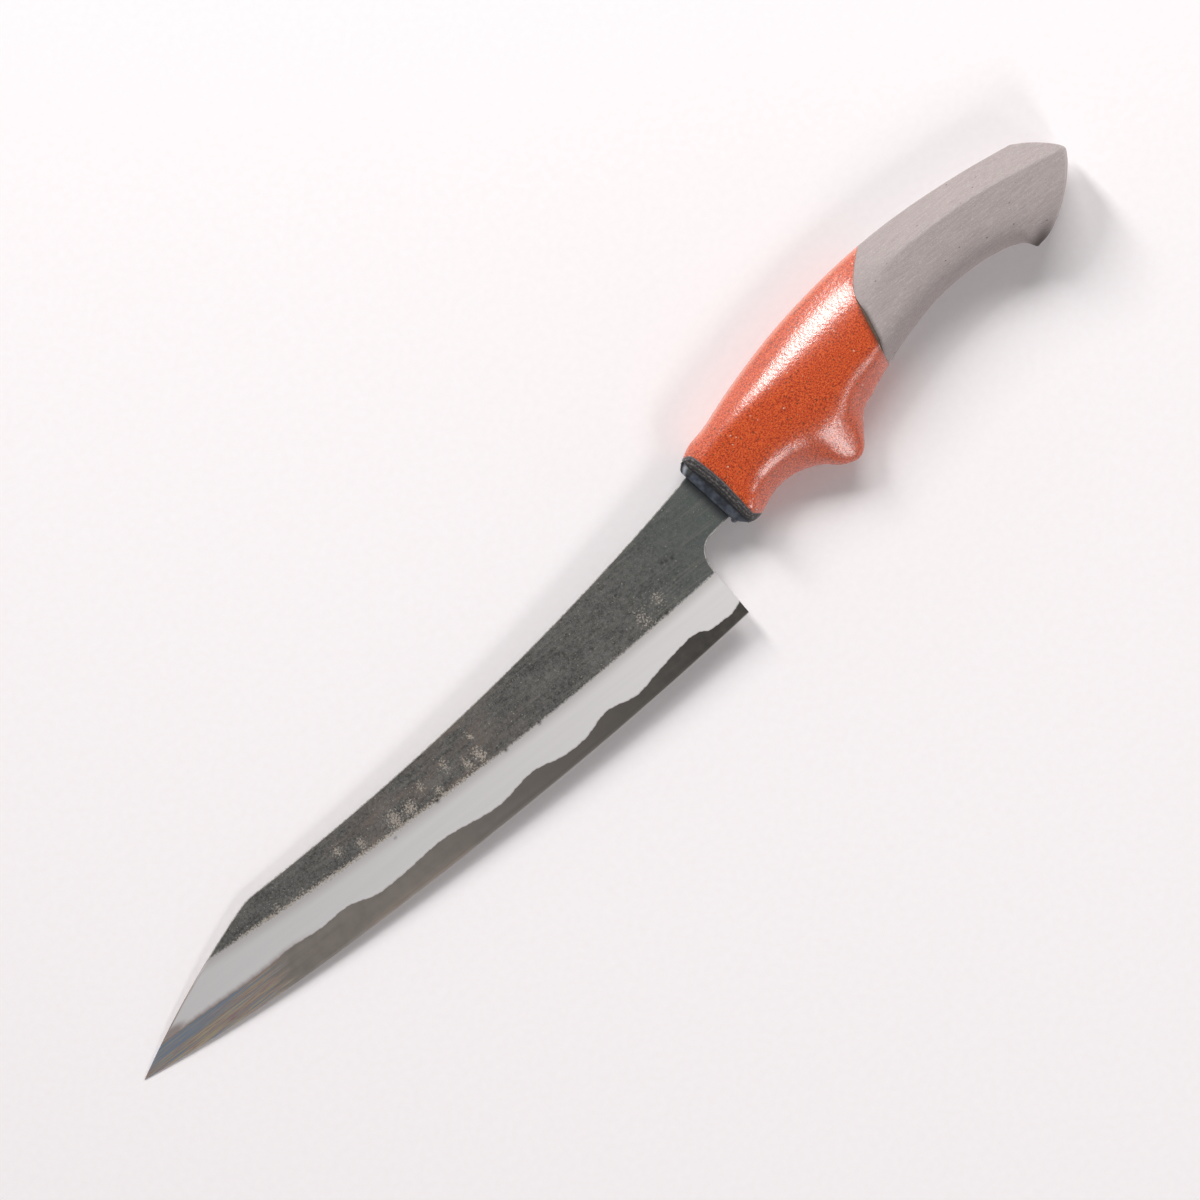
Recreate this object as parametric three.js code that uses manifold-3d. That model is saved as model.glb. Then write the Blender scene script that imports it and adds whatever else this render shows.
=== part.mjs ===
// Sujihiki: a Japanese slicing knife with a kiritsuke tip, laid on its right side.
//
// Millimetres. The knife is modelled in its own frame: x runs from the tip (minus) to the butt (plus)
// with 0 at the heel, y from the edge to the spine with 0 on the line from tip to heel, and z out of the
// left face with 0 in the middle of the blade. At the end the whole knife is laid down on its side.

import * as THREE from 'three';
import { mergeVertices } from 'three/addons/utils/BufferGeometryUtils.js';
import { ConvexHull } from 'three/addons/math/ConvexHull.js';
import Module from 'manifold-3d';

const wasm = await Module();
wasm.setup();

// Blade outline
const BLADE_LENGTH = 210;           // tip to heel
const EDGE_BELLY = 5.15;            // how far the edge bows below the line from tip to heel
const EDGE_LOW_FROM_TIP = 88;       // where it bows most
const EDGE_FULLNESS = 2.3;          // 2 would be a parabola
const TIP_CUT_LENGTH = 52.5;        // the slanting cut from the point up to the spine
const TIP_CUT_BULGE = 1.4;
const TIP_CORNER_BLEND = 0.9;
const TIP_CUT_REACH = 1.2;          // how far on the cut's line is followed to meet the spine, in cut lengths
const SPINE_HEIGHT_AT_CUT = 22.1;
const SPINE_HEIGHT_AT_HEEL = 38;
const CHOIL_STRAIGHT = 15;          // straight stretch above the heel
const CHOIL_LEAN = 0.7;             // how far that stretch leans back towards the tip
const CHOIL_FILLET = 5.5;           // run of the curve from the choil into the neck
const NECK_SLOPE = 0.1;             // rise of the neck's lower edge towards the handle
const PLAN_MARGIN = 20;             // how far the plan stands clear of the edge and the spine

// Blade thickness and bevels
const NECK_THICKNESS = 3.4;
const CUT_THICKNESS = 1.9;          // at the corner where the tip cut meets the spine
const BEVEL_HEIGHT_AT_HEEL = 14.5;  // the line where the flat turns into the wide bevel
const BEVEL_HEIGHT_AT_WAIST = 11.2;
const BEVEL_WAIST_FROM_HEEL = 82;
const LAND_HEIGHT = 0.7;            // the narrow honed land along the edge
const LAND_THICKNESS = 0.36;
const EDGE_THICKNESS = 0.1;
const WELD_GAP = 0.02;              // between the forge-welded layers
const TIP_LAND_SHARE = 1 / 3;       // the most of the blade's height that the land takes near the point
const TIP_WELD_SHARE = 0.9;         // the most of it that the bare core takes
const TIP_BEVEL_SHARE = 0.6;        // the most of the cladding's height that its bevel takes

// Where the core comes out of the cladding: distance from the heel and height, wave by wave
const LAMINATION_WAVES = [
  [0, 4.3], [4, 2.8], [12, 2.75], [16.5, 4.6], [30, 2.3], [39, 1.0], [48, 2.4], [57, 0], [64, -0.1],
  [73, 1.7], [86, 0], [105, 2.1], [121, 1.1], [128, 1.15], [136, 3.45], [146, 3.25], [157, 4.1],
  [163, 3.7], [185, 4.3], [210, 5.2],
];
const LAMINATION_SPAN = 210;        // the blade length at which these waves are drawn

// Neck, tang and the pieces that hold them. "Along" runs from the mouth of the handle on the tang's axis.
const MOUTH_X = 10.4;               // middle of the mouth
const MOUTH_Y = 31.9;
const TANG_RISE = THREE.MathUtils.degToRad(10);
const NECK_DROP = 8.1;              // neck below the tang's axis
const SHOULDER_ALONG = 3;           // where the neck steps down to the tang
const TANG_LENGTH = 88;
const TANG_END_THICKNESS = 2.2;
const TANG_END_HEIGHT = 5;
const BEDDING = 0.6;                // thickness of the filling round the tang
const GLUE_GAP = 0.05;
const PLUG_DEPTH = 5;
const PLUG_THICKNESS = 6.4;
const PLUG_END_THICKNESS = 4.4;
const PLUG_EDGE = 0.5;              // chamfer round the front of the plug
// The plug from below to above: place across the axis, how far its front lies back, and 0 for the thickness
// of its ends up to 1 for that of its middle
const PLUG_FORM = [
  [-13, 2.4, 0], [-9.6, 0, 0.5], [-7.8, 0, 1], [7.6, 0, 1], [9.6, 0, 0.5], [10.5, 0.1, 0], [11.7, 2.1, 0],
];
const COLLAR_FRONT = 2.6;
const COLLAR_FRONT_THICKNESS = 7.2;
const COLLAR_BACK = 6.2;            // where its chamfer has run out to the grip's sides
const COLLAR_BACK_THICKNESS = 16;
const DOWEL_START = 7.2;
const DOWEL_END_WALL = 4;
const DOWEL_COVER = 3.1;            // grip left outside the dowel where the grip is thickest
const DOWEL_SLOT_WALL = 2;          // dowel left above and below the tang's slot

// Handle
const HANDLE_END = 146;             // butt, from the heel
const HANDLE_THICKNESS = 18.8;
const SEAM_THICKNESS = 0.6;

// Sculpt lines of the handle, each [x, value], drawn for a handle that ends at 146 and is 18.8 thick
const SCULPT_END = 146;
const SCULPT_THICKNESS = 18.8;
const SCULPT = {
  // heights of the lines along the handle
  crown: [[4, 39.2], [10.5, 43.9], [14, 45.9], [20, 47.45], [32, 51.5], [50, 56.45], [68, 59.6], [90, 61.3],
    [116, 60.05], [134, 57.65], [150, 54.9]],
  ridge: [[8, 37.5], [12, 40.5], [16, 42.5], [20, 43.7], [30, 45.5], [50, 47.6], [70, 49.3], [76, 50.1],
    [82, 51.6], [90, 52.8], [100, 53.1], [110, 52.9], [120, 52.2], [130, 50.7], [146, 47.8]],
  side: [[8, 28], [12, 25.5], [16, 23.6], [19, 22.8], [21, 25.4], [25, 28.2], [30, 29.2], [50, 30.2],
    [57, 31.2], [63, 33.2], [70, 34.3], [80, 37], [90, 39.4], [100, 40.8], [110, 40.8], [120, 39.3],
    [130, 37.8], [146, 37.8]],
  belly: [[6, 26.8], [12, 21.9], [15.2, 19.5], [18, 19], [20, 19.5], [22, 20.45], [26, 22.05], [31, 22.55],
    [36, 21.75], [41, 19.5], [45, 16.4], [47.5, 15.3], [50, 15], [52.5, 16.3], [55, 19.65], [58, 23.7],
    [64, 26.95], [72, 30.3], [85, 34.5], [95, 36.6], [104, 37.1], [113, 36.5], [119, 35], [122, 33.4],
    [123.7, 31], [126, 30], [146, 28]],
  // half thicknesses at those lines
  crownHalf: [[8, 3], [16, 3.6], [40, 2.6], [70, 2], [84, 1.5], [146, 1.3]],
  ridgeHalf: [[8, 7.3], [16, 7.5], [30, 8.6], [50, 9.2], [70, 9.4], [90, 9.4], [110, 9], [130, 8.2],
    [146, 7.3]],
  sideHalf: [[8, 7], [16, 7.3], [30, 8.5], [50, 9.1], [70, 9.1], [90, 8.7], [110, 8.1], [130, 7.4], [146, 7]],
  bellyHalf: [[8, 3], [16, 3.6], [24, 2.6], [45, 2.4], [50, 2], [58, 2.6], [75, 3], [105, 3.2], [122, 2.8],
    [146, 2.8]],
  // how much of each corner is rounded off, soft on the lacquered block and crisp on the bare one
  crownRound: [[8, 2.6], [16, 3.4], [30, 5], [64, 4.6], [76, 3], [85, 0.8], [92, 0.5], [100, 0.4], [146, 0.4]],
  ridgeRound: [[8, 3.2], [20, 4], [34, 5], [48, 7], [74, 8], [81, 5], [88, 1.8], [95, 0.7], [102, 0.5],
    [146, 0.5]],
  sideRound: [[8, 2], [19, 1.4], [24, 1.7], [45, 1.8], [60, 2.2], [72, 2.6], [80, 4], [100, 5.5], [146, 5]],
  bellyRound: [[8, 2], [19, 2.2], [24, 3.2], [45, 3.6], [60, 3.6], [80, 3], [100, 3], [122, 2], [146, 2]],
};
// Plan of the butt: from the beak round the heel of the hand to the point, and from there up to the crown
const BUTT_BEAK = [123.7, 30.8];
const BUTT_HEEL = [[128.5, 31.8], [134, 34.7], [139.6, 39.1], [143.6, 43.4], [145.6, 46.4]];
const BUTT_POINT = [146, 47.9];
const BUTT_BROW = [[145.1, 49.5], [142.2, 52.4], [138.5, 55.3], [134, 57.9]];
// Plan line where the black collar meets the lacquer, from below the handle to above it
const COLLAR_BORDER = [
  [19.6, 17], [19.3, 19.4], [17.6, 21], [17.2, 26], [16.4, 33], [15.1, 39], [13.6, 43.6], [11, 44.6],
  [8, 45.4],
];
const COLLAR_TENSION = 0.3;
const BUTT_TENSION = 0.5;
const BUTT_RETURN = 15;             // how far the butt's line is led back past the beak and past the brow
// Plan line where the two blocks meet: nearly square up the side, then raked back over the upper facet
const JOINT_FOOT = [69, 15];
const JOINT_RIDGE = [75.4, 49];
const JOINT_LEAN = [76.6, 55.5];
const JOINT_CROWN = [89, 64];
// Limits of the handle's plan, all clear of the handle
const PLAN_FRONT = -20;
const PLAN_FLOOR = 0;
const PLAN_CEILING = 90;

const STEEL_DENSITY = 7.8;          // g/cm3
const RESIN_DENSITY = 1.2;
const WOOD_DENSITY = 0.7;

// How finely the surfaces are divided
const TIP_STATIONS = [0.4, 1.2, 2.5, 4.5, 7, 10];   // first sections of the blade, from the tip
const BLADE_STEP = 3;
const NECK_STEP = 4;
const HANDLE_STATIONS = [                           // from, to and step of the handle's rings
  [6, 44, 2], [45.25, 60, 1.25], [62, 118, 3.5], [119.5, 122.5, 1], [123.1, 126, 0.7], [129, 150, 3.5],
];
const CORNER_STEPS = 6;
const CORNER_LIMIT = 0.48;                          // the most of a side that one rounded corner takes
const FILLET_STEPS = 12;
const COLLAR_STEPS = 24;
const JOINT_STEPS = 8;
const BUTT_STEPS = 30;
const ROD_SIDES = 32;
const SAME_POINT = 1e-5;

const FINISH = {
  core: { color: 0x6a645e, roughness: 0.35, metalness: 1 },
  cladding: { color: 0x53554f, roughness: 0.55, metalness: 0.9 },
  resin: { color: 0x26282e, roughness: 0.35, metalness: 0 },
  lacquer: { color: 0xc9471f, roughness: 0.3, metalness: 0 },
  seam: { color: 0x2a2420, roughness: 0.6, metalness: 0 },
  greyWood: { color: 0xa1968f, roughness: 0.85, metalness: 0 },
  hardwood: { color: 0xb58a5a, roughness: 0.8, metalness: 0 },
};

// Curves

// A smooth line y(x) through a few points, level past its ends.
function smoothLine(points) {
  const last = points.length - 1;
  const secant = (i) => (points[i + 1][1] - points[i][1]) / (points[i + 1][0] - points[i][0]);
  const slope = points.map((point, i) => {
    if (i === 0) return secant(0);
    if (i === last) return secant(last - 1);
    const before = point[0] - points[i - 1][0];
    const after = points[i + 1][0] - point[0];
    return (after * secant(i - 1) + before * secant(i)) / (before + after);
  });
  return (x) => {
    if (x <= points[0][0]) return points[0][1];
    if (x >= points[last][0]) return points[last][1];
    const i = points.findIndex((point) => point[0] > x) - 1;
    const [x0, y0] = points[i];
    const [x1, y1] = points[i + 1];
    const run = x1 - x0;
    const t = (x - x0) / run;
    const t2 = t * t;
    const t3 = t2 * t;
    return y0 * (2 * t3 - 3 * t2 + 1) + y1 * (3 * t2 - 2 * t3)
      + run * (slope[i] * (t3 - 2 * t2 + t) + slope[i + 1] * (t3 - t2));
  };
}

function smoothMin(a, b, blend) {
  const overlap = Math.max(blend - Math.abs(a - b), 0) / blend;
  return Math.min(a, b) - overlap * overlap * blend / 4;
}

function steps(from, to, size) {
  const count = Math.ceil((to - from) / size);
  return Array.from({ length: count + 1 }, (_, i) => from + (to - from) * i / count);
}

// Solids

// A closed body through convex rings of equal point count, which may run either way round.
function loft(given) {
  const count = given[0].length;
  const turn = new THREE.Vector3();
  given[0].forEach((p, i) => turn.add(p.clone().cross(given[0][(i + 1) % count])));
  const travel = given[1][0].clone().sub(given[0][0]);
  const rings = turn.dot(travel) > 0 ? given : given.map((ring) => ring.slice().reverse());
  const index = [];
  for (let r = 0; r + 1 < rings.length; r += 1) {
    for (let i = 0; i < count; i += 1) {
      const a = r * count + i;
      const b = r * count + (i + 1) % count;
      index.push(a, b, a + count, b, b + count, a + count);
    }
  }
  const end = (rings.length - 1) * count;
  for (let i = 1; i + 1 < count; i += 1) {
    index.push(0, i + 1, i, end, end + i, end + i + 1);
  }
  const geometry = new THREE.BufferGeometry().setFromPoints(rings.flat());
  geometry.setIndex(index);
  return geometry;
}

function extrudeThrough(shape, halfDepth) {
  const options = { depth: 2 * halfDepth, bevelEnabled: false, curveSegments: FILLET_STEPS };
  return new THREE.ExtrudeGeometry(shape, options).translate(0, 0, -halfDepth);
}

function outline(points) {
  return new THREE.Shape(points.map(([x, y]) => new THREE.Vector2(x, y)));
}

function solid(geometry) {
  const bare = new THREE.BufferGeometry();
  bare.setAttribute('position', geometry.getAttribute('position'));
  if (geometry.index) bare.setIndex(geometry.index);
  const welded = mergeVertices(bare, SAME_POINT);
  const vertProperties = new Float32Array(welded.getAttribute('position').array);
  const triVerts = new Uint32Array(welded.index.array);
  return new wasm.Manifold(new wasm.Mesh({ numProp: 3, vertProperties, triVerts }));
}

function meshOf(name, body, finish) {
  const { vertProperties, triVerts, numProp } = body.getMesh();
  const geometry = new THREE.BufferGeometry();
  geometry.setAttribute('position', new THREE.BufferAttribute(new Float32Array(vertProperties), numProp));
  geometry.setIndex(new THREE.BufferAttribute(new Uint32Array(triVerts), 1));
  geometry.computeVertexNormals();
  const mesh = new THREE.Mesh(geometry, new THREE.MeshStandardMaterial(finish));
  mesh.name = name;
  return mesh;
}

// Blade

const tipX = -BLADE_LENGTH;
const cutX = tipX + TIP_CUT_LENGTH;
const edgeLowX = tipX + EDGE_LOW_FROM_TIP;
const alongAxis = new THREE.Vector2(Math.cos(TANG_RISE), Math.sin(TANG_RISE));
const tangEnd = SHOULDER_ALONG + TANG_LENGTH;

// A point of the tang's own frame, along the axis and across it towards the spine, in the knife's frame.
function onTang(along, across) {
  return [
    MOUTH_X + along * alongAxis.x - across * alongAxis.y,
    MOUTH_Y + along * alongAxis.y + across * alongAxis.x,
  ];
}
const toTang = new THREE.Matrix4().makeRotationZ(TANG_RISE).setPosition(MOUTH_X, MOUTH_Y, 0);
const neckX = onTang(SHOULDER_ALONG, 0)[0];
const tangEndX = onTang(tangEnd, 0)[0];

function edgeHeight(x) {
  const run = x < edgeLowX ? edgeLowX - tipX : -edgeLowX;
  const away = Math.min(Math.abs(x - edgeLowX) / run, 1);
  return -EDGE_BELLY * (1 - away ** EDGE_FULLNESS);
}

function spineHeight(x) {
  const rise = (x - cutX) / -cutX;
  return SPINE_HEIGHT_AT_CUT + (SPINE_HEIGHT_AT_HEEL - SPINE_HEIGHT_AT_CUT) * rise * rise;
}

function topHeight(x) {
  const u = (x - tipX) / TIP_CUT_LENGTH;
  if (u > TIP_CUT_REACH) return spineHeight(x);
  const cut = SPINE_HEIGHT_AT_CUT * u + 4 * TIP_CUT_BULGE * u * (1 - u);
  return smoothMin(cut, spineHeight(x), TIP_CORNER_BLEND);
}

function bevelLine(x) {
  const rise = (x + BEVEL_WAIST_FROM_HEEL) / BEVEL_WAIST_FROM_HEEL;
  return BEVEL_HEIGHT_AT_WAIST + (BEVEL_HEIGHT_AT_HEEL - BEVEL_HEIGHT_AT_WAIST) * rise * rise;
}

// Half thickness between the flats: thickest at the neck, thinner towards the point and along the tang.
function flatHalf(x) {
  const [farX, farThickness] = x < neckX ? [cutX, CUT_THICKNESS] : [tangEndX, TANG_END_THICKNESS];
  const share = (x - neckX) / (farX - neckX);
  return (NECK_THICKNESS + (farThickness - NECK_THICKNESS) * share) / 2;
}

const waves = smoothLine(LAMINATION_WAVES);

// One cross-section of the blade, as heights and half thicknesses from the edge up.
function bladeSection(x) {
  const edge = edgeHeight(x);
  const top = topHeight(x);
  const landRise = Math.min(LAND_HEIGHT, (top - edge) * TIP_LAND_SHARE);
  const land = edge + landRise;
  const landHalf = (EDGE_THICKNESS + (LAND_THICKNESS - EDGE_THICKNESS) * landRise / LAND_HEIGHT) / 2;
  const shoulder = bevelLine(x);
  const slope = (flatHalf(x) - LAND_THICKNESS / 2) / (shoulder - edge - LAND_HEIGHT);
  const halfAt = (y) => landHalf + slope * (Math.min(y, shoulder) - land);
  const wave = waves(-x * LAMINATION_SPAN / BLADE_LENGTH);
  const weld = Math.min(wave, land + (top - land) * TIP_WELD_SHARE);
  return { x, edge, land, landHalf, weld, weldHalf: halfAt(weld), shoulder, top, slope, halfAt };
}

const placeAt = (x) => ([y, z]) => new THREE.Vector3(x, y, z);

function coreRing(s) {
  const foot = [[s.edge, EDGE_THICKNESS / 2], [s.land, s.landHalf]];
  const left = [...foot, [s.weld, s.weldHalf], [s.top, s.weldHalf]];
  const right = left.map(([y, z]) => [y, -z]).reverse();
  return [...left, ...right].map(placeAt(s.x));
}

function claddingRing(s, sign) {
  const inner = s.weldHalf + WELD_GAP;
  const foot = s.weld + WELD_GAP / s.slope;
  const crease = Math.min(s.shoulder, foot + (s.top - foot) * TIP_BEVEL_SHARE);
  const corners = [[foot, inner], [crease, s.halfAt(crease)], [s.top, s.halfAt(s.top)], [s.top, inner]];
  return corners.map(([y, z]) => [y, sign * z]).map(placeAt(s.x));
}

// The plan of blade, neck and tang. It stands clear of the edge and the spine, which the layers shape.
function bladePlan() {
  const below = EDGE_BELLY + PLAN_MARGIN;
  const above = spineHeight(tangEndX) + PLAN_MARGIN;
  const front = tipX - PLAN_MARGIN;
  const choil = new THREE.Vector2(-CHOIL_LEAN, CHOIL_STRAIGHT);
  const neckLow = new THREE.Vector2(...onTang(SHOULDER_ALONG, -NECK_DROP));
  const neckFoot = new THREE.Vector2(...onTang(0, -NECK_DROP));
  const filletEnd = new THREE.Vector2(CHOIL_FILLET, neckFoot.y - (neckFoot.x - CHOIL_FILLET) * NECK_SLOPE);
  const corner = new THREE.Vector2(choil.x, filletEnd.y - CHOIL_LEAN);
  const shape = new THREE.Shape();
  shape.moveTo(front, -below);
  shape.lineTo(CHOIL_LEAN / CHOIL_STRAIGHT * below, -below);
  shape.lineTo(choil.x, choil.y);
  shape.quadraticCurveTo(corner.x, corner.y, filletEnd.x, filletEnd.y);
  shape.lineTo(neckLow.x, neckLow.y);
  shape.lineTo(...onTang(SHOULDER_ALONG, -tangHalfHeight(SHOULDER_ALONG)));
  shape.lineTo(...onTang(tangEnd, -tangHalfHeight(tangEnd)));
  shape.lineTo(...onTang(tangEnd, tangHalfHeight(tangEnd)));
  shape.lineTo(...onTang(SHOULDER_ALONG, tangHalfHeight(SHOULDER_ALONG)));
  shape.lineTo(...onTang(SHOULDER_ALONG, above));
  shape.lineTo(front, above);
  return shape;
}

const dowelRadius = HANDLE_THICKNESS / 2 - DOWEL_COVER;
const tangHeight = 2 * (dowelRadius - DOWEL_SLOT_WALL - BEDDING);

function tangHalfHeight(along) {
  const share = (along - SHOULDER_ALONG) / TANG_LENGTH;
  return (tangHeight + (TANG_END_HEIGHT - tangHeight) * share) / 2;
}

function makeBlade() {
  const nearTip = TIP_STATIONS.map((distance) => tipX + distance);
  const length = steps(nearTip.pop(), 0, BLADE_STEP);
  const neck = steps(BLADE_STEP, neckX, NECK_STEP);
  const sections = [...nearTip, ...length, ...neck, tangEndX + TANG_END_HEIGHT].map(bladeSection);
  const clad = sections.filter((s) => s.top - s.weld > 3 * WELD_GAP / s.slope);
  const plan = solid(extrudeThrough(bladePlan(), NECK_THICKNESS));
  const shaped = (rings) => solid(loft(rings)).intersect(plan);
  return {
    core: shaped(sections.map(coreRing)),
    left: shaped(clad.map((s) => claddingRing(s, 1))),
    right: shaped(clad.map((s) => claddingRing(s, -1))),
  };
}

// Pieces on the tang's axis, made along that axis and then tilted into place

function onAxis(geometry) {
  return solid(geometry.applyMatrix4(toTang));
}

function rectangleRing(along, low, high, half) {
  return [[low, -half], [low, half], [high, half], [high, -half]].map(placeAt(along));
}

// The tang's own tapering block, grown all round, each ring as thick as the tang's thickest place there.
function tangBlock(from, grow) {
  const to = tangEnd + grow;
  const stations = from < SHOULDER_ALONG ? [from, SHOULDER_ALONG, to] : [from, to];
  const rings = stations.map((along) => {
    const height = tangHalfHeight(along) + grow;
    const thickest = THREE.MathUtils.clamp(neckX, onTang(along, height)[0], onTang(along, -height)[0]);
    return rectangleRing(along, -height, height, flatHalf(thickest) + grow);
  });
  return onAxis(loft(rings));
}

// How far the spine lies across from the tang's axis, found by walking up to it a few times.
function spineAcross(along) {
  let across = NECK_DROP;
  for (let i = 0; i < 4; i += 1) {
    const [x] = onTang(along, across);
    across = (spineHeight(x) - MOUTH_Y - along * alongAxis.y) / alongAxis.x;
  }
  return across;
}

// The neck's slot from in front of the mouth to the shoulder.
function neckBlock(grow) {
  const half = NECK_THICKNESS / 2 + grow;
  const ring = (along) => rectangleRing(along, -NECK_DROP - grow, spineAcross(along) + grow, half);
  return onAxis(loft([ring(-SHOULDER_ALONG), ring(SHOULDER_ALONG + grow)]));
}

// The plug's outer form: a flat-sided boss with thinner sloping ends, as rings across the axis.
function plugBlock(grow) {
  const back = PLUG_DEPTH + grow;
  const last = PLUG_FORM.length - 1;
  const rings = PLUG_FORM.map(([middle, front, share], i) => {
    const across = middle + grow * (Number(i === last) - Number(i === 0));
    const z = THREE.MathUtils.lerp(PLUG_END_THICKNESS, PLUG_THICKNESS, share) / 2 + grow;
    const face = z - PLUG_EDGE;
    const nose = front - grow;
    const bevel = nose + PLUG_EDGE;
    const corners = [[back, -z], [back, z], [bevel, z], [nose, face], [nose, -face], [bevel, -z]];
    return corners.map(([along, depth]) => new THREE.Vector3(along, across, depth));
  });
  return onAxis(loft(rings));
}

// Everything behind the collar's chamfered front, as an arrowhead seen from the spine.
function noseWedge() {
  const front = COLLAR_FRONT_THICKNESS / 2;
  const back = COLLAR_BACK_THICKNESS / 2;
  const spread = (back - front) / (COLLAR_BACK - COLLAR_FRONT);
  const far = 2 * HANDLE_END;
  const wide = front + spread * HANDLE_THICKNESS;
  const wideAt = COLLAR_FRONT + HANDLE_THICKNESS;
  const half = [[COLLAR_FRONT, front], [wideAt, wide], [far, wide]];
  const mirrored = half.map(([along, z]) => [along, -z]).reverse();
  const geometry = extrudeThrough(outline([...half, ...mirrored]), HANDLE_END);
  return onAxis(geometry.rotateX(Math.PI / 2));
}

function dowelRod(grow) {
  const from = DOWEL_START - grow;
  const to = tangEnd + BEDDING + DOWEL_END_WALL + grow;
  const rod = new THREE.CylinderGeometry(dowelRadius + grow, dowelRadius + grow, to - from, ROD_SIDES);
  return onAxis(rod.rotateZ(-Math.PI / 2).translate((from + to) / 2, 0, 0));
}

// Handle

const stretch = (HANDLE_END - MOUTH_X) / (SCULPT_END - MOUTH_X);
const swell = HANDLE_THICKNESS / SCULPT_THICKNESS;
const sculpted = (x) => MOUTH_X + (x - MOUTH_X) / stretch;
const stretched = (x) => MOUTH_X + (x - MOUTH_X) * stretch;
const lines = Object.fromEntries(Object.entries(SCULPT).map(([name, points]) => [name, smoothLine(points)]));

// The rounded corner at b between its neighbours a and c: a parabola that starts and ends on the two sides.
function roundedCorner(a, b, c, size) {
  const into = Math.min(size, a.distanceTo(b) * CORNER_LIMIT);
  const out = Math.min(size, b.distanceTo(c) * CORNER_LIMIT);
  const start = b.clone().lerp(a, into / a.distanceTo(b));
  const finish = b.clone().lerp(c, out / b.distanceTo(c));
  return new THREE.QuadraticBezierCurve(start, b, finish).getPoints(CORNER_STEPS);
}

// One ring of the handle: crown, ridge, side and belly corners on the left, and the same on the right.
function handleRing(x) {
  const s = sculpted(x);
  const at = (name) => lines[name](s);
  const corner = (name) => new THREE.Vector2(at(`${name}Half`) * swell, at(name));
  const names = ['crown', 'ridge', 'side', 'belly'];
  const corners = names.map(corner);
  const path = [new THREE.Vector2(0, at('crown')), ...corners, new THREE.Vector2(0, at('belly'))];
  const rounded = names.flatMap((name, i) => {
    const size = at(`${name}Round`);
    return roundedCorner(path[i], path[i + 1], path[i + 2], size);
  });
  const left = [path[0], ...rounded, path.at(-1)];
  const right = left.slice(1, -1).reverse().map(({ x: z, y }) => new THREE.Vector2(-z, y));
  return [...left, ...right].map(({ x: z, y }) => new THREE.Vector3(x, y, z));
}

function handleBody() {
  const stations = HANDLE_STATIONS.flatMap(([from, to, step]) => steps(from, to, step)).map(stretched);
  return solid(loft(stations.map(handleRing))).intersect(noseWedge());
}

// A smooth plan line through a few points, stretched with the handle.
function planCurve(points, count, tension) {
  const through = points.map(([x, y]) => new THREE.Vector3(stretched(x), y, 0));
  const curve = new THREE.CatmullRomCurve3(through, false, 'catmullrom', tension);
  return curve.getPoints(count).map(({ x, y }) => [x, y]);
}

// The line of the joint between the blocks, moved back along the handle.
function jointLine(shift) {
  const place = ([x, y]) => new THREE.Vector2(stretched(x) + shift, y);
  const rake = new THREE.QuadraticBezierCurve(place(JOINT_RIDGE), place(JOINT_LEAN), place(JOINT_CROWN));
  return [place(JOINT_FOOT), ...rake.getPoints(JOINT_STEPS)].map(({ x, y }) => [x, y]);
}

// The line of the butt, led on to well below the beak and well above the crown.
function buttLine() {
  const round = planCurve([BUTT_BEAK, ...BUTT_HEEL, BUTT_POINT, ...BUTT_BROW], BUTT_STEPS, BUTT_TENSION);
  const below = [round[0][0] - BUTT_RETURN, round[0][1] - BUTT_RETURN / 3];
  const above = [round.at(-1)[0] - BUTT_RETURN, round.at(-1)[1] + BUTT_RETURN * 2 / 3];
  return [below, ...round, above];
}

// The part of the plan between two such lines, each given from below to above.
function zone(before, after) {
  return solid(extrudeThrough(outline([...before, ...after.slice().reverse()]), HANDLE_THICKNESS));
}

function shifted(line, by) {
  return line.map(([x, y]) => [x + by, y]);
}

function makeHandle() {
  const body = handleBody();
  const start = [[PLAN_FRONT, MOUTH_Y]];
  const border = planCurve(COLLAR_BORDER, COLLAR_STEPS, COLLAR_TENSION);
  const upright = (line) => [[line[0][0], PLAN_FLOOR], ...line, [line.at(-1)[0], PLAN_CEILING]];
  const seamFront = jointLine(0);
  const seamBack = jointLine(SEAM_THICKNESS);
  const dowelHole = dowelRod(GLUE_GAP);
  const tangSlot = tangBlock(SHOULDER_ALONG, BEDDING);
  const plug = plugBlock(0).subtract(neckBlock(GLUE_GAP)).subtract(tangBlock(0, GLUE_GAP));
  const plugHole = plugBlock(GLUE_GAP);
  const piece = (before, after) => body.intersect(zone(upright(before), upright(after)));
  const front = piece(shifted(border, GLUE_GAP), shifted(seamFront, -GLUE_GAP));
  return {
    plug,
    collar: piece(start, border).subtract(plugHole).subtract(dowelHole).subtract(tangSlot),
    front: front.subtract(plugHole).subtract(dowelHole).subtract(tangSlot),
    seam: piece(seamFront, seamBack).subtract(dowelHole),
    rear: piece(shifted(seamBack, GLUE_GAP), buttLine()).subtract(dowelHole),
    dowel: dowelRod(0).subtract(tangSlot),
    bedding: tangBlock(PLUG_DEPTH + GLUE_GAP, BEDDING - GLUE_GAP).subtract(tangBlock(0, GLUE_GAP)),
  };
}

// Assembly

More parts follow.
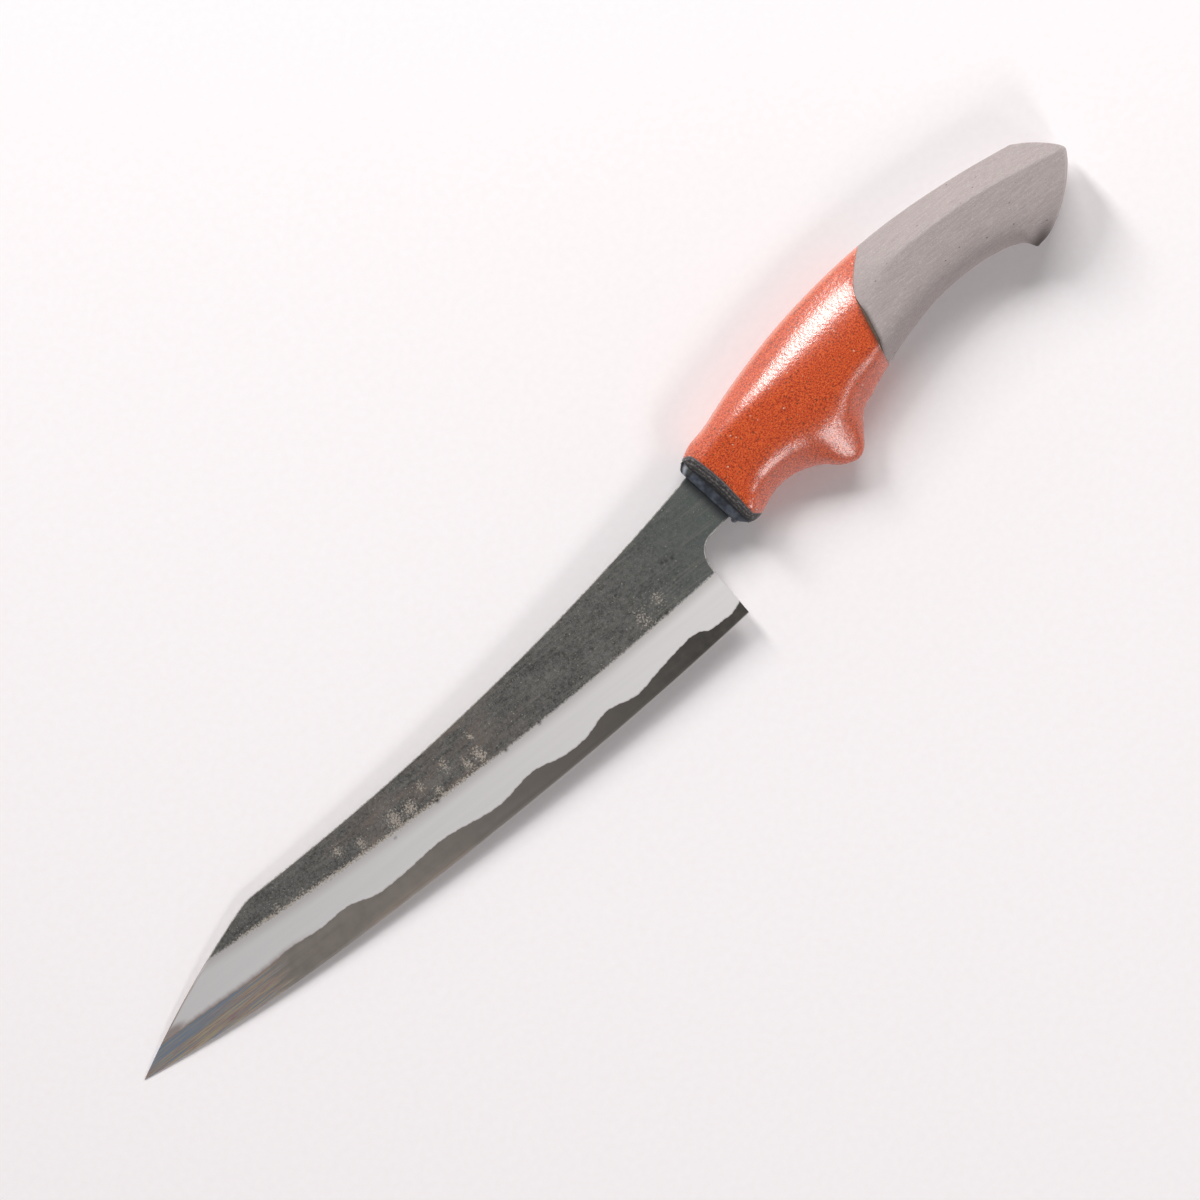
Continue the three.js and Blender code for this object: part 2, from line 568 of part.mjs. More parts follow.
const blade = makeBlade();
const handle = makeHandle();
const pieces = [
  ['blade_core', blade.core, FINISH.core, STEEL_DENSITY],
  ['cladding_left', blade.left, FINISH.cladding, STEEL_DENSITY],
  ['cladding_right', blade.right, FINISH.cladding, STEEL_DENSITY],
  ['neck_plug', handle.plug, FINISH.resin, RESIN_DENSITY],
  ['front_collar', handle.collar, FINISH.resin, WOOD_DENSITY],
  ['front_grip', handle.front, FINISH.lacquer, WOOD_DENSITY],
  ['joint_seam', handle.seam, FINISH.seam, RESIN_DENSITY],
  ['rear_grip', handle.rear, FINISH.greyWood, WOOD_DENSITY],
  ['tang_dowel', handle.dowel, FINISH.hardwood, WOOD_DENSITY],
  ['tang_bedding', handle.bedding, FINISH.resin, RESIN_DENSITY],
];

// Volume and centre of a closed mesh, summed over the tetrahedra between its triangles and the origin.
function volumeAndCentre(geometry) {
  const position = geometry.getAttribute('position');
  const corners = [new THREE.Vector3(), new THREE.Vector3(), new THREE.Vector3()];
  const moment = new THREE.Vector3();
  let volume = 0;
  for (let i = 0; i < geometry.index.count; i += 3) {
    corners.forEach((corner, k) => corner.fromBufferAttribute(position, geometry.index.getX(i + k)));
    const [a, b, c] = corners;
    const part = a.dot(b.clone().cross(c)) / 6;
    volume += part;
    moment.addScaledVector(a.clone().add(b).add(c), part / 4);
  }
  return { volume, moment };
}

const knife = new THREE.Group();
knife.name = 'sujihiki';
const weight = new THREE.Vector3();
let mass = 0;
for (const [name, body, finish, density] of pieces) {
  const mesh = meshOf(name, body, finish);
  knife.add(mesh);
  const { volume, moment } = volumeAndCentre(mesh.geometry);
  mass += density * volume;
  weight.addScaledVector(moment, density);
}
const balance = weight.divideScalar(mass);

// Lay the knife on its right side, on the face of its hull that lies under the balance point.
function restingNormal() {
  const hull = new ConvexHull().setFromObject(knife);
  const triangle = new THREE.Triangle();
  const inside = hull.faces.filter((face) => {
    const { edge } = face;
    triangle.set(edge.tail().point, edge.head().point, edge.next.head().point);
    const foot = balance.clone().addScaledVector(face.normal, -face.distanceToPoint(balance));
    return face.normal.z < 0 && triangle.containsPoint(foot);
  });
  return inside.sort((a, b) => a.normal.z - b.normal.z)[0].normal;
}

knife.quaternion.setFromUnitVectors(restingNormal(), new THREE.Vector3(0, 0, -1));
const box = new THREE.Box3().setFromObject(knife, true);
const middle = box.getCenter(new THREE.Vector3());
knife.position.set(-middle.x, -middle.y, -box.min.z);
knife.updateMatrixWorld(true);

export default knife;
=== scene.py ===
"""Looks of a short slicing knife with a slanted tip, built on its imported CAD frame.

Shapes are worked out in the knife's own frame, in millimetres: x runs from the tip (minus) to the butt
(plus) with 0 at the heel, y from the edge to the spine, and z out of the left face with 0 in the middle of
the blade. A Lay then turns them into the row's frame, in metres.
"""

import logging
import math
from collections.abc import Callable, Sequence
from dataclasses import dataclass
from enum import Enum
from functools import partial

import bpy
import numpy as np
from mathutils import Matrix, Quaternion, Vector

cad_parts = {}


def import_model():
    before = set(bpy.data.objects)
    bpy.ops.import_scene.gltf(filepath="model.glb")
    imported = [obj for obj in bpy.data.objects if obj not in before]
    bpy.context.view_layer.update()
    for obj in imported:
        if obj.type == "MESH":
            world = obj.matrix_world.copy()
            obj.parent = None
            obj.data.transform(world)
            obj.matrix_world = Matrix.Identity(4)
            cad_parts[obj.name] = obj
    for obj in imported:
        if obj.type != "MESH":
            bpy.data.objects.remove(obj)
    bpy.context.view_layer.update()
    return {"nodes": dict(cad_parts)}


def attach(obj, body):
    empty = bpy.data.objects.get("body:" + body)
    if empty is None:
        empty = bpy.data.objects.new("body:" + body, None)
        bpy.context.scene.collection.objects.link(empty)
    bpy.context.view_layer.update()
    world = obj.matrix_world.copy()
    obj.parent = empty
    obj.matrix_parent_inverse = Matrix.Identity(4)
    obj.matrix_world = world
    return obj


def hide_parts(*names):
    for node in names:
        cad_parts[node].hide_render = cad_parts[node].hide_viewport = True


LOG = logging.getLogger("knife")
MM = 0.001
Array = np.ndarray
Line = Callable[[Array], Array]
Marks = dict[str, Array]
Pair = tuple[float, float]
Triple = tuple[float, float, float]
Stretch = tuple[float, float, float, float]
Adder = Callable[..., bpy.types.NodeSocket]


class Slot(Enum):
    """Material slot names, listed beside the handle's pieces but not read."""

    CORE_STEEL = "core_steel"
    CLAD_IRON = "clad_iron"
    BLACK_RESIN = "black_resin"
    BLACK_LACQUER = "black_lacquer"
    RED_LACQUER = "red_lacquer"
    DARK_GLUE = "dark_glue"
    GREY_WOOD = "grey_wood"


class Side(Enum):
    """The two faces of the blade, as the sign of z."""

    LEFT = 1
    RIGHT = -1


# Curves


def hermite(t: Array, start: Array, end: Array, leave: Array, arrive: Array) -> Array:
    """A cubic from a start to an end, with the tangents leave and arrive there, at shares t of the way."""
    ends = start * (2 * t**3 - 3 * t**2 + 1) + end * (3 * t**2 - 2 * t**3)
    return ends + leave * (t**3 - 2 * t**2 + t) + arrive * (t**3 - t**2)


class SmoothLine:
    """A smooth line value(x) through a few points, level past its ends.

    Between two points it is a cubic whose slope at each point is the mean of the slopes to its neighbours,
    weighted so that the nearer neighbour counts more.
    """

    def __init__(self, *points: Pair) -> None:
        """Works out the slopes.

        Args:
            points: Pairs of x and value, in rising x.
        """
        self.x, self.y = np.array(points, float).T
        run = np.diff(self.x)
        secant = np.diff(self.y) / run
        inner = (run[1:] * secant[:-1] + run[:-1] * secant[1:]) / (run[1:] + run[:-1])
        self.slope = np.concatenate([secant[:1], inner, secant[-1:]])

    def __call__(self, x: Array) -> Array:
        """The line's value at each x.

        Args:
            x: Places of any shape.

        Returns:
            Values of the same shape.
        """
        x = np.clip(x, self.x[0], self.x[-1])
        i = np.clip(np.searchsorted(self.x, x, side="right") - 1, 0, len(self.x) - 2)
        run = self.x[i + 1] - self.x[i]
        t = (x - self.x[i]) / run
        return hermite(t, self.y[i], self.y[i + 1], run * self.slope[i], run * self.slope[i + 1])


def through(points: Sequence[Pair], tension: float, count: int = 24) -> Array:
    """A plan curve through points: cubics whose tangents are the tension times the neighbours' chord.

    Args:
        points: Plan points in order.
        tension: Share of the chord between a point's neighbours that its tangent takes.
        count: Steps between two points.

    Returns:
        Dense plan points, one row each.
    """
    p = np.array(points, float)
    p = np.concatenate([[2 * p[0] - p[1]], p, [2 * p[-1] - p[-2]]])
    tangent = tension * (p[2:] - p[:-2])
    t = np.linspace(0, 1, count, endpoint=False)[None, :, None]
    curve = hermite(t, p[1:-2, None], p[2:-1, None], tangent[:-1, None], tangent[1:, None])
    return np.concatenate([curve.reshape(-1, 2), p[-2:-1]])


def parabola(start: Array, corner: Array, end: Array, count: int) -> Array:
    """Plan points on the parabola that leaves its start and reaches its end along the sides of a corner."""
    t = np.linspace(0, 1, count)[:, None]
    return start * (1 - t) ** 2 + 2 * corner * t * (1 - t) + end * t**2


def across(points: Array) -> Line:
    """The plan curve as x for a given y, for a curve that rises steadily in y."""
    return lambda y: np.interp(y, points[:, 1], points[:, 0])


def ramp(value: Array, low: float, high: float) -> Array:
    """A smooth step from 0 at low to 1 at high, which may be the smaller of the two."""
    t = np.clip((value - low) / (high - low), 0, 1)
    return t * t * (3 - 2 * t)


def within(value: Array, stretch: Stretch) -> Array:
    """1 inside a stretch and 0 outside it, with a smooth step between its first two and its last two places."""
    return ramp(value, stretch[0], stretch[1]) * ramp(value, stretch[3], stretch[2])


def worn(distance: Array, width: float, depth: float) -> Array:
    """How far a face drops near a worn arris: a quarter ellipse of a width and a depth."""
    gone = np.clip(1 - distance / width, 0, 1)
    return depth * (1 - np.sqrt(1 - gone**2))


# Meshes


@dataclass(frozen=True)
class Lay:
    """How the knife is laid down on its right side: a turn and a shift of its own frame."""

    turn: tuple[float, float, float, float] = (0.99984570849, 0.00246038129, -0.01739269182, 0.0)
    shift: Triple = (31.64587764, -28.09292911, 7.39129562)

    def place(self, points: Array) -> Array:
        """Own-frame millimetres as row-frame metres."""
        matrix = np.array(Quaternion(self.turn).to_matrix())
        return (points @ matrix.T + np.array(self.shift)) * MM


@dataclass
class Shell:
    """One closed surface: points in mm, faces, and named values at the points that the finishes read."""

    points: Array
    quads: Array
    triangles: Array
    marks: Marks

    def mirrored(self) -> "Shell":
        """The same shell on the other side of the blade's middle plane, still facing out."""
        return Shell(self.points * (1, 1, -1), self.quads[:, ::-1], self.triangles[:, ::-1], self.marks)


def squares(index: Array) -> Array:
    """The faces between the neighbours of a grid of point numbers."""
    return np.stack([index[:-1, :-1], index[1:, :-1], index[1:, 1:], index[:-1, 1:]], -1).reshape(-1, 4)


def slab(x: Array, y: Array, low: Array, high: Array, marks: Marks) -> Shell:
    """A closed plate over a plan grid: its upper face, its lower face, and walls round the rim.

    Args:
        x: Plan x, rising along the grid's rows.
        y: Plan y, rising along its columns.
        low: Height of the lower face.
        high: Height of the upper face.
        marks: Named values on the grid.

    Returns:
        The plate.
    """
    index = np.arange(x.size).reshape(x.shape)
    upper = squares(index)
    rim = np.concatenate([index[:-1, 0], index[-1, :-1], index[:0:-1, -1], index[0, :0:-1]])
    following = np.roll(rim, -1)
    walls = np.stack([rim + x.size, following + x.size, following, rim], -1)
    points = np.concatenate([np.stack([x, y, z], -1).reshape(-1, 3) for z in (high, low)])
    doubled = {name: np.tile(np.broadcast_to(value, x.shape).ravel(), 2) for name, value in marks.items()}
    quads = np.concatenate([upper, upper[:, ::-1] + x.size, walls])
    return Shell(points, quads, np.zeros((0, 3), int), doubled)


def tube(x: Array, y: Array, z: Array, marks: Marks) -> Shell:
    """A closed body from half sections, one row each, from the top middle round the left to the bottom middle.

    The right half is the mirror image, and each end is ruled straight across from left to right.

    Args:
        x: Place along the body.
        y: Height in the plan.
        z: Half thickness, 0 in the first and the last column.
        marks: Named values on the half sections.

    Returns:
        The body.
    """
    def whole(half: Array, sign: int = 1) -> Array:
        """The half sections carried on round the right side."""
        return np.concatenate([half, sign * half[:, -2:0:-1]], 1)

    rows, half = x.shape
    count = 2 * half - 2
    index = np.arange(rows * count).reshape(rows, count)
    turned = np.roll(index, -1, 1)
    skin = np.stack([index[:-1], turned[:-1], turned[1:], index[1:]], -1).reshape(-1, 4)
    left = np.arange(half)
    right = (count - left) % count
    cap = np.stack([left[1:-2], left[2:-1], right[2:-1], right[1:-2]], -1)
    tips = np.array([[left[0], left[1], right[1]], [left[-2], left[-1], right[-2]]])
    last = (rows - 1) * count
    points = np.stack([whole(x), whole(y), whole(z, -1)], -1).reshape(-1, 3)
    full = {name: whole(np.broadcast_to(value, x.shape)).ravel() for name, value in marks.items()}
    quads = np.concatenate([skin, cap[:, ::-1], cap + last])
    return Shell(points, quads, np.concatenate([tips[:, ::-1], tips + last]), full)


def make_piece(name: str, shells: Sequence[Shell], lay: Lay, material: bpy.types.Material,
               crease: float = 30) -> bpy.types.Object:
    """Joins shells into one object that rides on the knife and stands for the CAD node of its name.

    Args:
        name: The CAD node's name.
        shells: The closed surfaces of the piece.
        lay: How the knife lies.
        material: Its finish.
        crease: Angle in degrees above which an edge stays sharp.

    Returns:
        The object.
    """
    starts = np.cumsum([0] + [len(shell.points) for shell in shells])
    points = np.concatenate([shell.points for shell in shells])
    faces = [face for shell, start in zip(shells, starts) for part in (shell.quads, shell.triangles)
             for face in (part + start).tolist()]
    mesh = bpy.data.meshes.new(name)
    mesh.from_pydata(lay.place(points).tolist(), [], faces)
    mesh.attributes.new("place", "FLOAT_VECTOR", "POINT").data.foreach_set("vector", points.astype("f4").ravel())
    for mark in sorted({mark for shell in shells for mark in shell.marks}):
        values = np.concatenate([shell.marks.get(mark, np.zeros(len(shell.points))) for shell in shells])
        mesh.attributes.new(mark, "FLOAT", "POINT").data.foreach_set("value", values.astype("f4"))
    mesh.shade_smooth()
    mesh.set_sharp_from_angle(angle=math.radians(crease))
    mesh.materials.append(material)
    piece = bpy.data.objects.new(f"{name}_looks", mesh)
    bpy.context.scene.collection.objects.link(piece)
    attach(piece, "root")
    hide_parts(name)
    return piece


# Finishes

# What a kind of node has here unless a call says otherwise: its settings and its wanted output
SETTINGS: dict[str, dict[str, str]] = {"Mix": {"data_type": "RGBA"}}
OUTPUTS: dict[str, int | str] = {"Mix": 2, "Attribute": "Fac"}


def linear(colour: str) -> tuple[float, float, float, float]:
    """An sRGB hex colour such as '#c8481f' as linear red, green, blue and alpha."""
    parts = [int(colour[i:i + 2], 16) / 255 for i in (1, 3, 5)]
    return (*(c / 12.92 if c <= 0.04045 else ((c + 0.055) / 1.055) ** 2.4 for c in parts), 1.0)


def per(sizes: Triple, unit: float = 1.0) -> Triple:
    """A pattern's scale on each axis, from its sizes in mm and the length of a mm in the coordinates."""
    return tuple(1 / (size * unit) for size in sizes)


def feed(node: bpy.types.Node, inputs: dict | Sequence) -> None:
    """Sets and links a node's inputs.

    Args:
        node: The node.
        inputs: Constants, hex colours and sockets, by input name or number, or else in the node's order.
    """
    named = inputs if isinstance(inputs, dict) else dict(enumerate(inputs))
    for name, value in named.items():
        if isinstance(value, bpy.types.NodeSocket):
            node.id_data.links.new(value, node.inputs[name])
        else:
            node.inputs[name].default_value = linear(value) if isinstance(value, str) else value


def add(tree: bpy.types.NodeTree, kind: str, inputs: dict | Sequence = (), out: int | str | None = None,
        **settings: str) -> bpy.types.NodeSocket:
    """Adds one node with its settings and links.

    In its own order a MapRange takes a value, the two ends that it comes from and the two that it goes to, and a Mix
    takes its share as 0 and its two colours as 6 and 7.

    Args:
        tree: The node tree.
        kind: The node's type, without its ShaderNode prefix.
        inputs: What goes into it, as feed takes it.
        out: The wanted output, if it isn't the usual one.
        **settings: The node's own settings.

    Returns:
        The wanted output.
    """
    node = tree.nodes.new(f"ShaderNode{kind}")
    for name, value in {**SETTINGS.get(kind, {}), **settings}.items():
        setattr(node, name, value)
    feed(node, inputs)
    return node.outputs[OUTPUTS.get(kind, 0) if out is None else out]


def blank(name: str) -> tuple[bpy.types.Material, Adder, bpy.types.Node]:
    """A new material.

    Args:
        name: Its name.

    Returns:
        The material, the function that adds nodes to it, and its Principled shader.
    """
    material = bpy.data.materials.new(name)
    material.use_nodes = True
    tree = material.node_tree
    return material, partial(add, tree), tree.nodes["Principled BSDF"]


@dataclass(frozen=True)
class ForgeScaledIron:
    """Soft iron cladding: black oxide from the forge on the flats, stone-polished to a white haze on the bevels.

    The eye gets a matt charcoal skin, mottled and streaked along the blade, which breaks up into pale pits
    along a ragged border, and below it an even, milky, directionless shine.
    """

    scale_dark: str = "#3a3a38"
    scale_light: str = "#706e6b"
    scale_neck: str = "#505754"
    streak: str = "#716e69"
    pit_dark: str = "#7d766d"
    pit_light: str = "#c4b9ad"
    speck: str = "#9a958e"
    warm: str = "#75675f"
    haze: str = "#f6f3f2"
    haze_tip: str = "#d8d5d6"
    tarnish: str = "#8d7d76"
    worn: str = "#d2cdc9"
    verge: str = "#a8a29e"
    dent: str = "#242423"
    smear: str = "#1f2327"
    rag_mm: float = 0.6
    grain_mm: float = 0.45
    mottle_mm: float = 1.0
    pit_mm: float = 0.55
    speck_mm: float = 1.7
    cloud_mm: Triple = (9.0, 4.5, 9.0)
    streak_mm: Triple = (14.0, 0.55, 1.0)
    glow_mm: Triple = (14.0, 2.5, 1.0)
    hair_mm: Triple = (40.0, 1.6, 1.0)
    warm_x: float = -100.0

    def material(self) -> bpy.types.Material:
        """The finish as a material.

        Returns:
            The material.
        """
        material, node, shader = blank("wrought_iron_forge_scale_and_stone_haze")
        place = node("Attribute", out="Vector", attribute_name="place")
        rise, pitting, bare, tarnish, dent, smear = (
            node("Attribute", attribute_name=mark)
            for mark in ("rise", "pitting", "bare", "tarnish", "dent", "smear"))
        along = node("SeparateXYZ", (place,))
        rag, grain, patch, pocks = (
            node("TexNoise", {"Vector": place, "Scale": 1 / size, "Detail": detail, "Roughness": rough})
            for size, detail, rough in ((self.rag_mm, 5, 0.72), (self.grain_mm, 4, 0.7),
                                        (self.mottle_mm, 4, 0.65), (self.pit_mm, 5, 0.7)))
        cloud, streak, glow, hair = (
            node("TexNoise", {"Vector": node("Mapping", {"Vector": place, "Scale": per(sizes)}), "Scale": 1.0,
                              "Detail": detail, "Roughness": rough})
            for sizes, detail, rough in ((self.cloud_mm, 6, 0.62), (self.streak_mm, 3, 0.5),
                                         (self.glow_mm, 5, 0.65), (self.hair_mm, 3, 0.5)))

        # Where the scale begins: the height above the bevel line, made ragged by noise, more where it is pitted
        reach = node("MapRange", (pitting, 0, 1, 1.7, 4.4))
        offset = node("Math", (rag, 0.5), operation="SUBTRACT")
        ragged = node("Math", (offset, reach, rise), operation="MULTIPLY_ADD")
        scaled = node("MapRange", (ragged, -0.45, 0.4), interpolation_type="SMOOTHSTEP")
        border = node("MapRange", (ragged, 0.9, 0.05), interpolation_type="SMOOTHSTEP")

        # Pale pits: noise over a limit that is lower where the blade is pitted and along the border
        lifted = node("Math", (pitting, 0.2, pocks), operation="MULTIPLY_ADD")
        edged = node("Math", (border, 0.08, lifted), operation="MULTIPLY_ADD")
        pits = node("MapRange", (edged, 0.61, 0.7), interpolation_type="SMOOTHSTEP")
        beige = node("Mix", {0: grain, 6: self.pit_dark, 7: self.pit_light})

        # The scale's mottle, its greener neck, its streaks and its warmer middle
        grained = node("Math", (grain, 0.9, patch), operation="MULTIPLY_ADD")
        layered = node("Math", (cloud, 0.6, grained), operation="MULTIPLY_ADD")
        mottle = node("MapRange", (layered, 1.02, 1.52))
        near = node("MapRange", (along, -30, 5, 0, 0.75))
        drawn = node("MapRange", (streak, 0.5, 0.72, 0, 0.5))
        warmth = node("MapRange", (glow, 0.44, 0.62, 0, 0.65))
        shifted = node("Math", (along, -self.warm_x), operation="ADD")
        apart = node("Math", (shifted,), operation="ABSOLUTE")
        middle = node("MapRange", (apart, 38, 20, 0, 0.8))
        spread = node("Math", (warmth, middle), operation="MULTIPLY")

        # Pale specks in some cells, and bare metal along the worn arris, which is partly a painted highlight
        cell = node("TexVoronoi", {"Vector": place, "Scale": 1 / self.speck_mm}, "Color")
        chosen = node("MapRange", (node("SeparateColor", (cell,)), 0.7, 0.75))
        dot = node("MapRange", (cell.node.outputs["Distance"], 0.13, 0.06))
        specks = node("Math", (chosen, dot), operation="MULTIPLY")
        catch = node("MapRange", (rag, 0.3, 0.6))
        rubbed = node("Math", (bare, catch), operation="MULTIPLY")
        oxide = self.scale_dark
        for share, layer in ((mottle, self.scale_light), (near, self.scale_neck), (drawn, self.streak),
                             (spread, self.warm), (specks, self.speck), (pits, beige), (rubbed, self.worn)):
            oxide = node("Mix", {0: share, 6: oxide, 7: layer})

        # The polished bevel dims towards the tip, wavers along the strokes and tarnishes brown beside the core; along
        # the tip cut's edge it carries painted shade
        toward = node("MapRange", (along, -205, 0, -0.15, 0.85))
        waver = node("Math", (hair, 0.3, toward), operation="MULTIPLY_ADD")
        beside = node("MapRange", (rise, -3.6, 0.2, 0, 0.5), interpolation_type="SMOOTHSTEP")
        colour = self.haze_tip
        for share, layer in ((waver, self.haze), (tarnish, self.tarnish), (beside, self.verge), (scaled, oxide),
                             (dent, self.dent), (smear, self.smear)):
            colour = node("Mix", {0: share, 6: colour, 7: layer})
        metallic = node("MapRange", (scaled, 0, 1, 0.52, 0.3))
        rough = node("MapRange", (scaled, 0, 1, 0.5, 0.62))
        skin = node("Math", (scaled, rag), operation="MULTIPLY")
        bump = node("Bump", {"Strength": 0.55, "Distance": 0.12 * MM, "Height": skin})
        feed(shader, {"Base Color": colour, "Metallic": metallic, "Roughness": rough, "Normal": bump})
        return material


@dataclass(frozen=True)
class CoreSteel:
    """High-carbon core steel, stone polished and left to take a patina.

    The eye gets a darker, browner mirror than the cladding, drawn out along the blade, with blue, gold and
    purple films of oxide near the point, and a bright honed land along the edge.
    """

    bright: str = "#b1a8a1"
    heel: str = "#625f5b"
    dull: str = "#8d857d"
    honed: str = "#d9d7d4"
    blue: str = "#9fb2c9"
    gold: str = "#e0d3b3"
    purple: str = "#c2969e"
    cloud_mm: float = 3.5
    film_mm: Triple = (26.0, 0.46, 5.0)
    hair_mm: Triple = (25.0, 0.3, 1.0)

    def material(self) -> bpy.types.Material:
        """The finish as a material.

        Returns:
            The material.
        """
        material, node, shader = blank("carbon_steel_stone_polished_patina")
        place = node("Attribute", out="Vector", attribute_name="place")
        land, film = (node("Attribute", attribute_name=mark) for mark in ("land", "film"))
        along = node("SeparateXYZ", (place,))
        toward = node("MapRange", (along, -120, -15))
        cloud = node("TexNoise", {"Vector": place, "Scale": 1 / self.cloud_mm, "Detail": 4})
        dull = node("MapRange", (cloud, 0.4, 0.75, 0, 0.35))

        # Oxide films: noise drawn out along the blade, leaning on the height, picks blue, then gold, purple between
        stretched = node("Mapping", {"Vector": place, "Scale": per(self.film_mm)})
        drawn = node("TexNoise", {"Vector": stretched, "Scale": 1.0, "Detail": 2, "Roughness": 0.6,
                                  "Distortion": 0.2})
        lean = node("MapRange", (along.node.outputs["Y"], 0.6, 3.6, 0.22, -0.18))
        streaked = node("MapRange", (drawn, 0.33, 0.67))
        band = node("Math", (lean, 0.9, streaked), operation="MULTIPLY_ADD")
        to_gold = node("MapRange", (band, 0.36, 0.6))
        off = node("Math", (band, 0.66), operation="SUBTRACT")
        seam = node("MapRange", (node("Math", (off,), operation="ABSOLUTE"), 0.12, 0.02))
        tint = node("Mix", {0: to_gold, 6: self.blue, 7: self.gold})
        films = node("Mix", {0: seam, 6: tint, 7: self.purple})
        colour = self.bright
        for share, layer in ((toward, self.heel), (dull, self.dull), (film, films), (land, self.honed)):
            colour = node("Mix", {0: share, 6: colour, 7: layer})
        strokes = node("Mapping", {"Vector": place, "Scale": per(self.hair_mm)})
        hair = node("TexNoise", {"Vector": strokes, "Scale": 1.0, "Detail": 2})
        rough = node("MapRange", (hair, 0, 1, 0.32, 0.46))
        feed(shader, {"Base Color": colour, "Metallic": 0.8, "Roughness": rough})
        return material


@dataclass(frozen=True)
class VermilionLacquer:
    """Vermilion lacquer brushed over a black ground on wood, rubbed back and left semi-gloss.

    The eye gets a warm orange red with a fine dark grain, sparse grey-green and silver grit, the black ground
    showing at worn borders, soft highlights that break up into grain at their edges, and a painted reflection: a
    pale pink tint along the crown.
    """

    red: str = "#ce4a1d"
    light: str = "#e16b32"
    deep: str = "#7f260c"
    grit: str = "#4b402b"
    silver: str = "#d8b8a8"
    ground: str = "#2e2717"
    worn: str = "#6b2a14"
    brow: str = "#e9ab98"
    grain_mm: float = 0.42
    wander_mm: float = 0.7
    peep_mm: float = 0.4
    tooth_mm: float = 0.9
    grit_mm: float = 0.95

    def material(self) -> bpy.types.Material:
        """The finish as a material.

        Returns:
            The material.
        """
        material, node, shader = blank("urushi_lacquer_vermilion_on_black")
        place = node("Attribute", out="Vector", attribute_name="place")
        to_collar, to_seam, flank, brow = (
            node("Attribute", attribute_name=mark) for mark in ("to_collar", "to_seam", "flank", "brow"))
        grain, wander, peep, tooth = (
            node("TexNoise", {"Vector": place, "Scale": 1 / size, "Detail": detail, "Roughness": rough})
            for size, detail, rough in ((self.grain_mm, 3, 0.7), (self.wander_mm, 4, 0.7), (self.peep_mm, 3, 0.6),
                                        (self.tooth_mm, 3, 0.6)))
        lit = node("MapRange", (grain, 0.5, 0.64))
        shade = node("MapRange", (grain, 0.5, 0.36))

        # Grit in the middle of some cells, dark in many and silver in a few
        cell = node("TexVoronoi", {"Vector": place, "Scale": 1 / self.grit_mm}, "Color")
        chance = node("SeparateColor", (cell,))
        dot = node("MapRange", (cell.node.outputs["Distance"], 0.3, 0.16))
        dark = node("Math", (node("MapRange", (chance, 0.55, 0.8, 0, 0.85)), dot), operation="MULTIPLY")
        pale = node("Math", (node("MapRange", (chance, 0.035, 0.02)), dot), operation="MULTIPLY")

        # The black ground shows in specks behind the collar, and the red wears brown towards the seam
        behind = node("Math", (peep, 12.0, to_collar), operation="MULTIPLY_ADD")
        bare = node("MapRange", (behind, 6.0, 5.0, 0, 0.8))
        before = node("Math", (wander, 1.6, to_seam), operation="MULTIPLY_ADD")
        rubbed = node("MapRange", (before, 2.3, 0.6, 0, 0.85))
        sided = node("Math", (rubbed, flank), operation="MULTIPLY")
        # Painted reflection: the pale tint along the crown stands in for the bright sheet seen at a grazing angle
        colour = self.red
        for share, layer in ((lit, self.light), (shade, self.deep), (dark, self.grit), (pale, self.silver),
                             (bare, self.ground), (brow, self.brow), (sided, self.worn)):
            colour = node("Mix", {0: share, 6: colour, 7: layer})
        bump = node("Bump", {"Strength": 0.65, "Distance": 0.11 * MM, "Height": tooth})
        feed(shader, {"Base Color": colour, "Normal": bump, "Coat Normal": bump, "Roughness": 0.36, "IOR": 1.55,
                      "Coat Weight": 1.0, "Coat Roughness": 0.18, "Coat IOR": 1.6})
        return material


@dataclass(frozen=True)
class BlackLacquer:
    """Raw black lacquer over a filed wooden chamfer: matt, uneven, greyed where the file left ridges, with painted
    shade towards its front and a painted highlight along its border with the red.
    """

    black: str = "#383434"
    worn: str = "#8a8484"
    painted_groove_shade: str = "#1b1a1c"
    rim: str = "#8d9199"
    rub_mm: float = 0.8
    groove_mm: float = 0.9

    def material(self) -> bpy.types.Material:
        """The finish as a material.

        Returns:
            The material.
        """
        material, node, shader = blank("urushi_lacquer_raw_black")
        place = node("Attribute", out="Vector", attribute_name="place")
        to_border = node("Attribute", attribute_name="to_border")
        rub = node("TexNoise", {"Vector": place, "Scale": 1 / self.rub_mm, "Detail": 5, "Roughness": 0.7})
        wander = node("Math", (rub, 6.0), operation="MULTIPLY")
        phase = node("Math", (to_border, 2 * math.pi / self.groove_mm, wander), operation="MULTIPLY_ADD")
        file = node("Math", (phase,), operation="SINE")
        filed = node("Math", (file, 0.07, rub), operation="MULTIPLY_ADD")
        ridged = node("MapRange", (filed, 0.48, 0.7))
        # Painted shade: the front of the collar, towards the plug, darkens, standing in for the groove there
        deep = node("MapRange", (to_border, 1.9, 2.7, 0, 0.85))
        # Painted highlight: a pale bluish line along the border with the red
        edge = node("MapRange", (to_border, 0.4, 0.1, 0, 0.35))
        colour = self.black
        for share, layer in ((ridged, self.worn), (deep, self.painted_groove_shade), (edge, self.rim)):
            colour = node("Mix", {0: share, 6: colour, 7: layer})
        bump = node("Bump", {"Strength": 0.7, "Distance": 0.2 * MM, "Height": filed})
        feed(shader, {"Base Color": colour, "Normal": bump, "Roughness": 0.5, "IOR": 1.5})
        return material


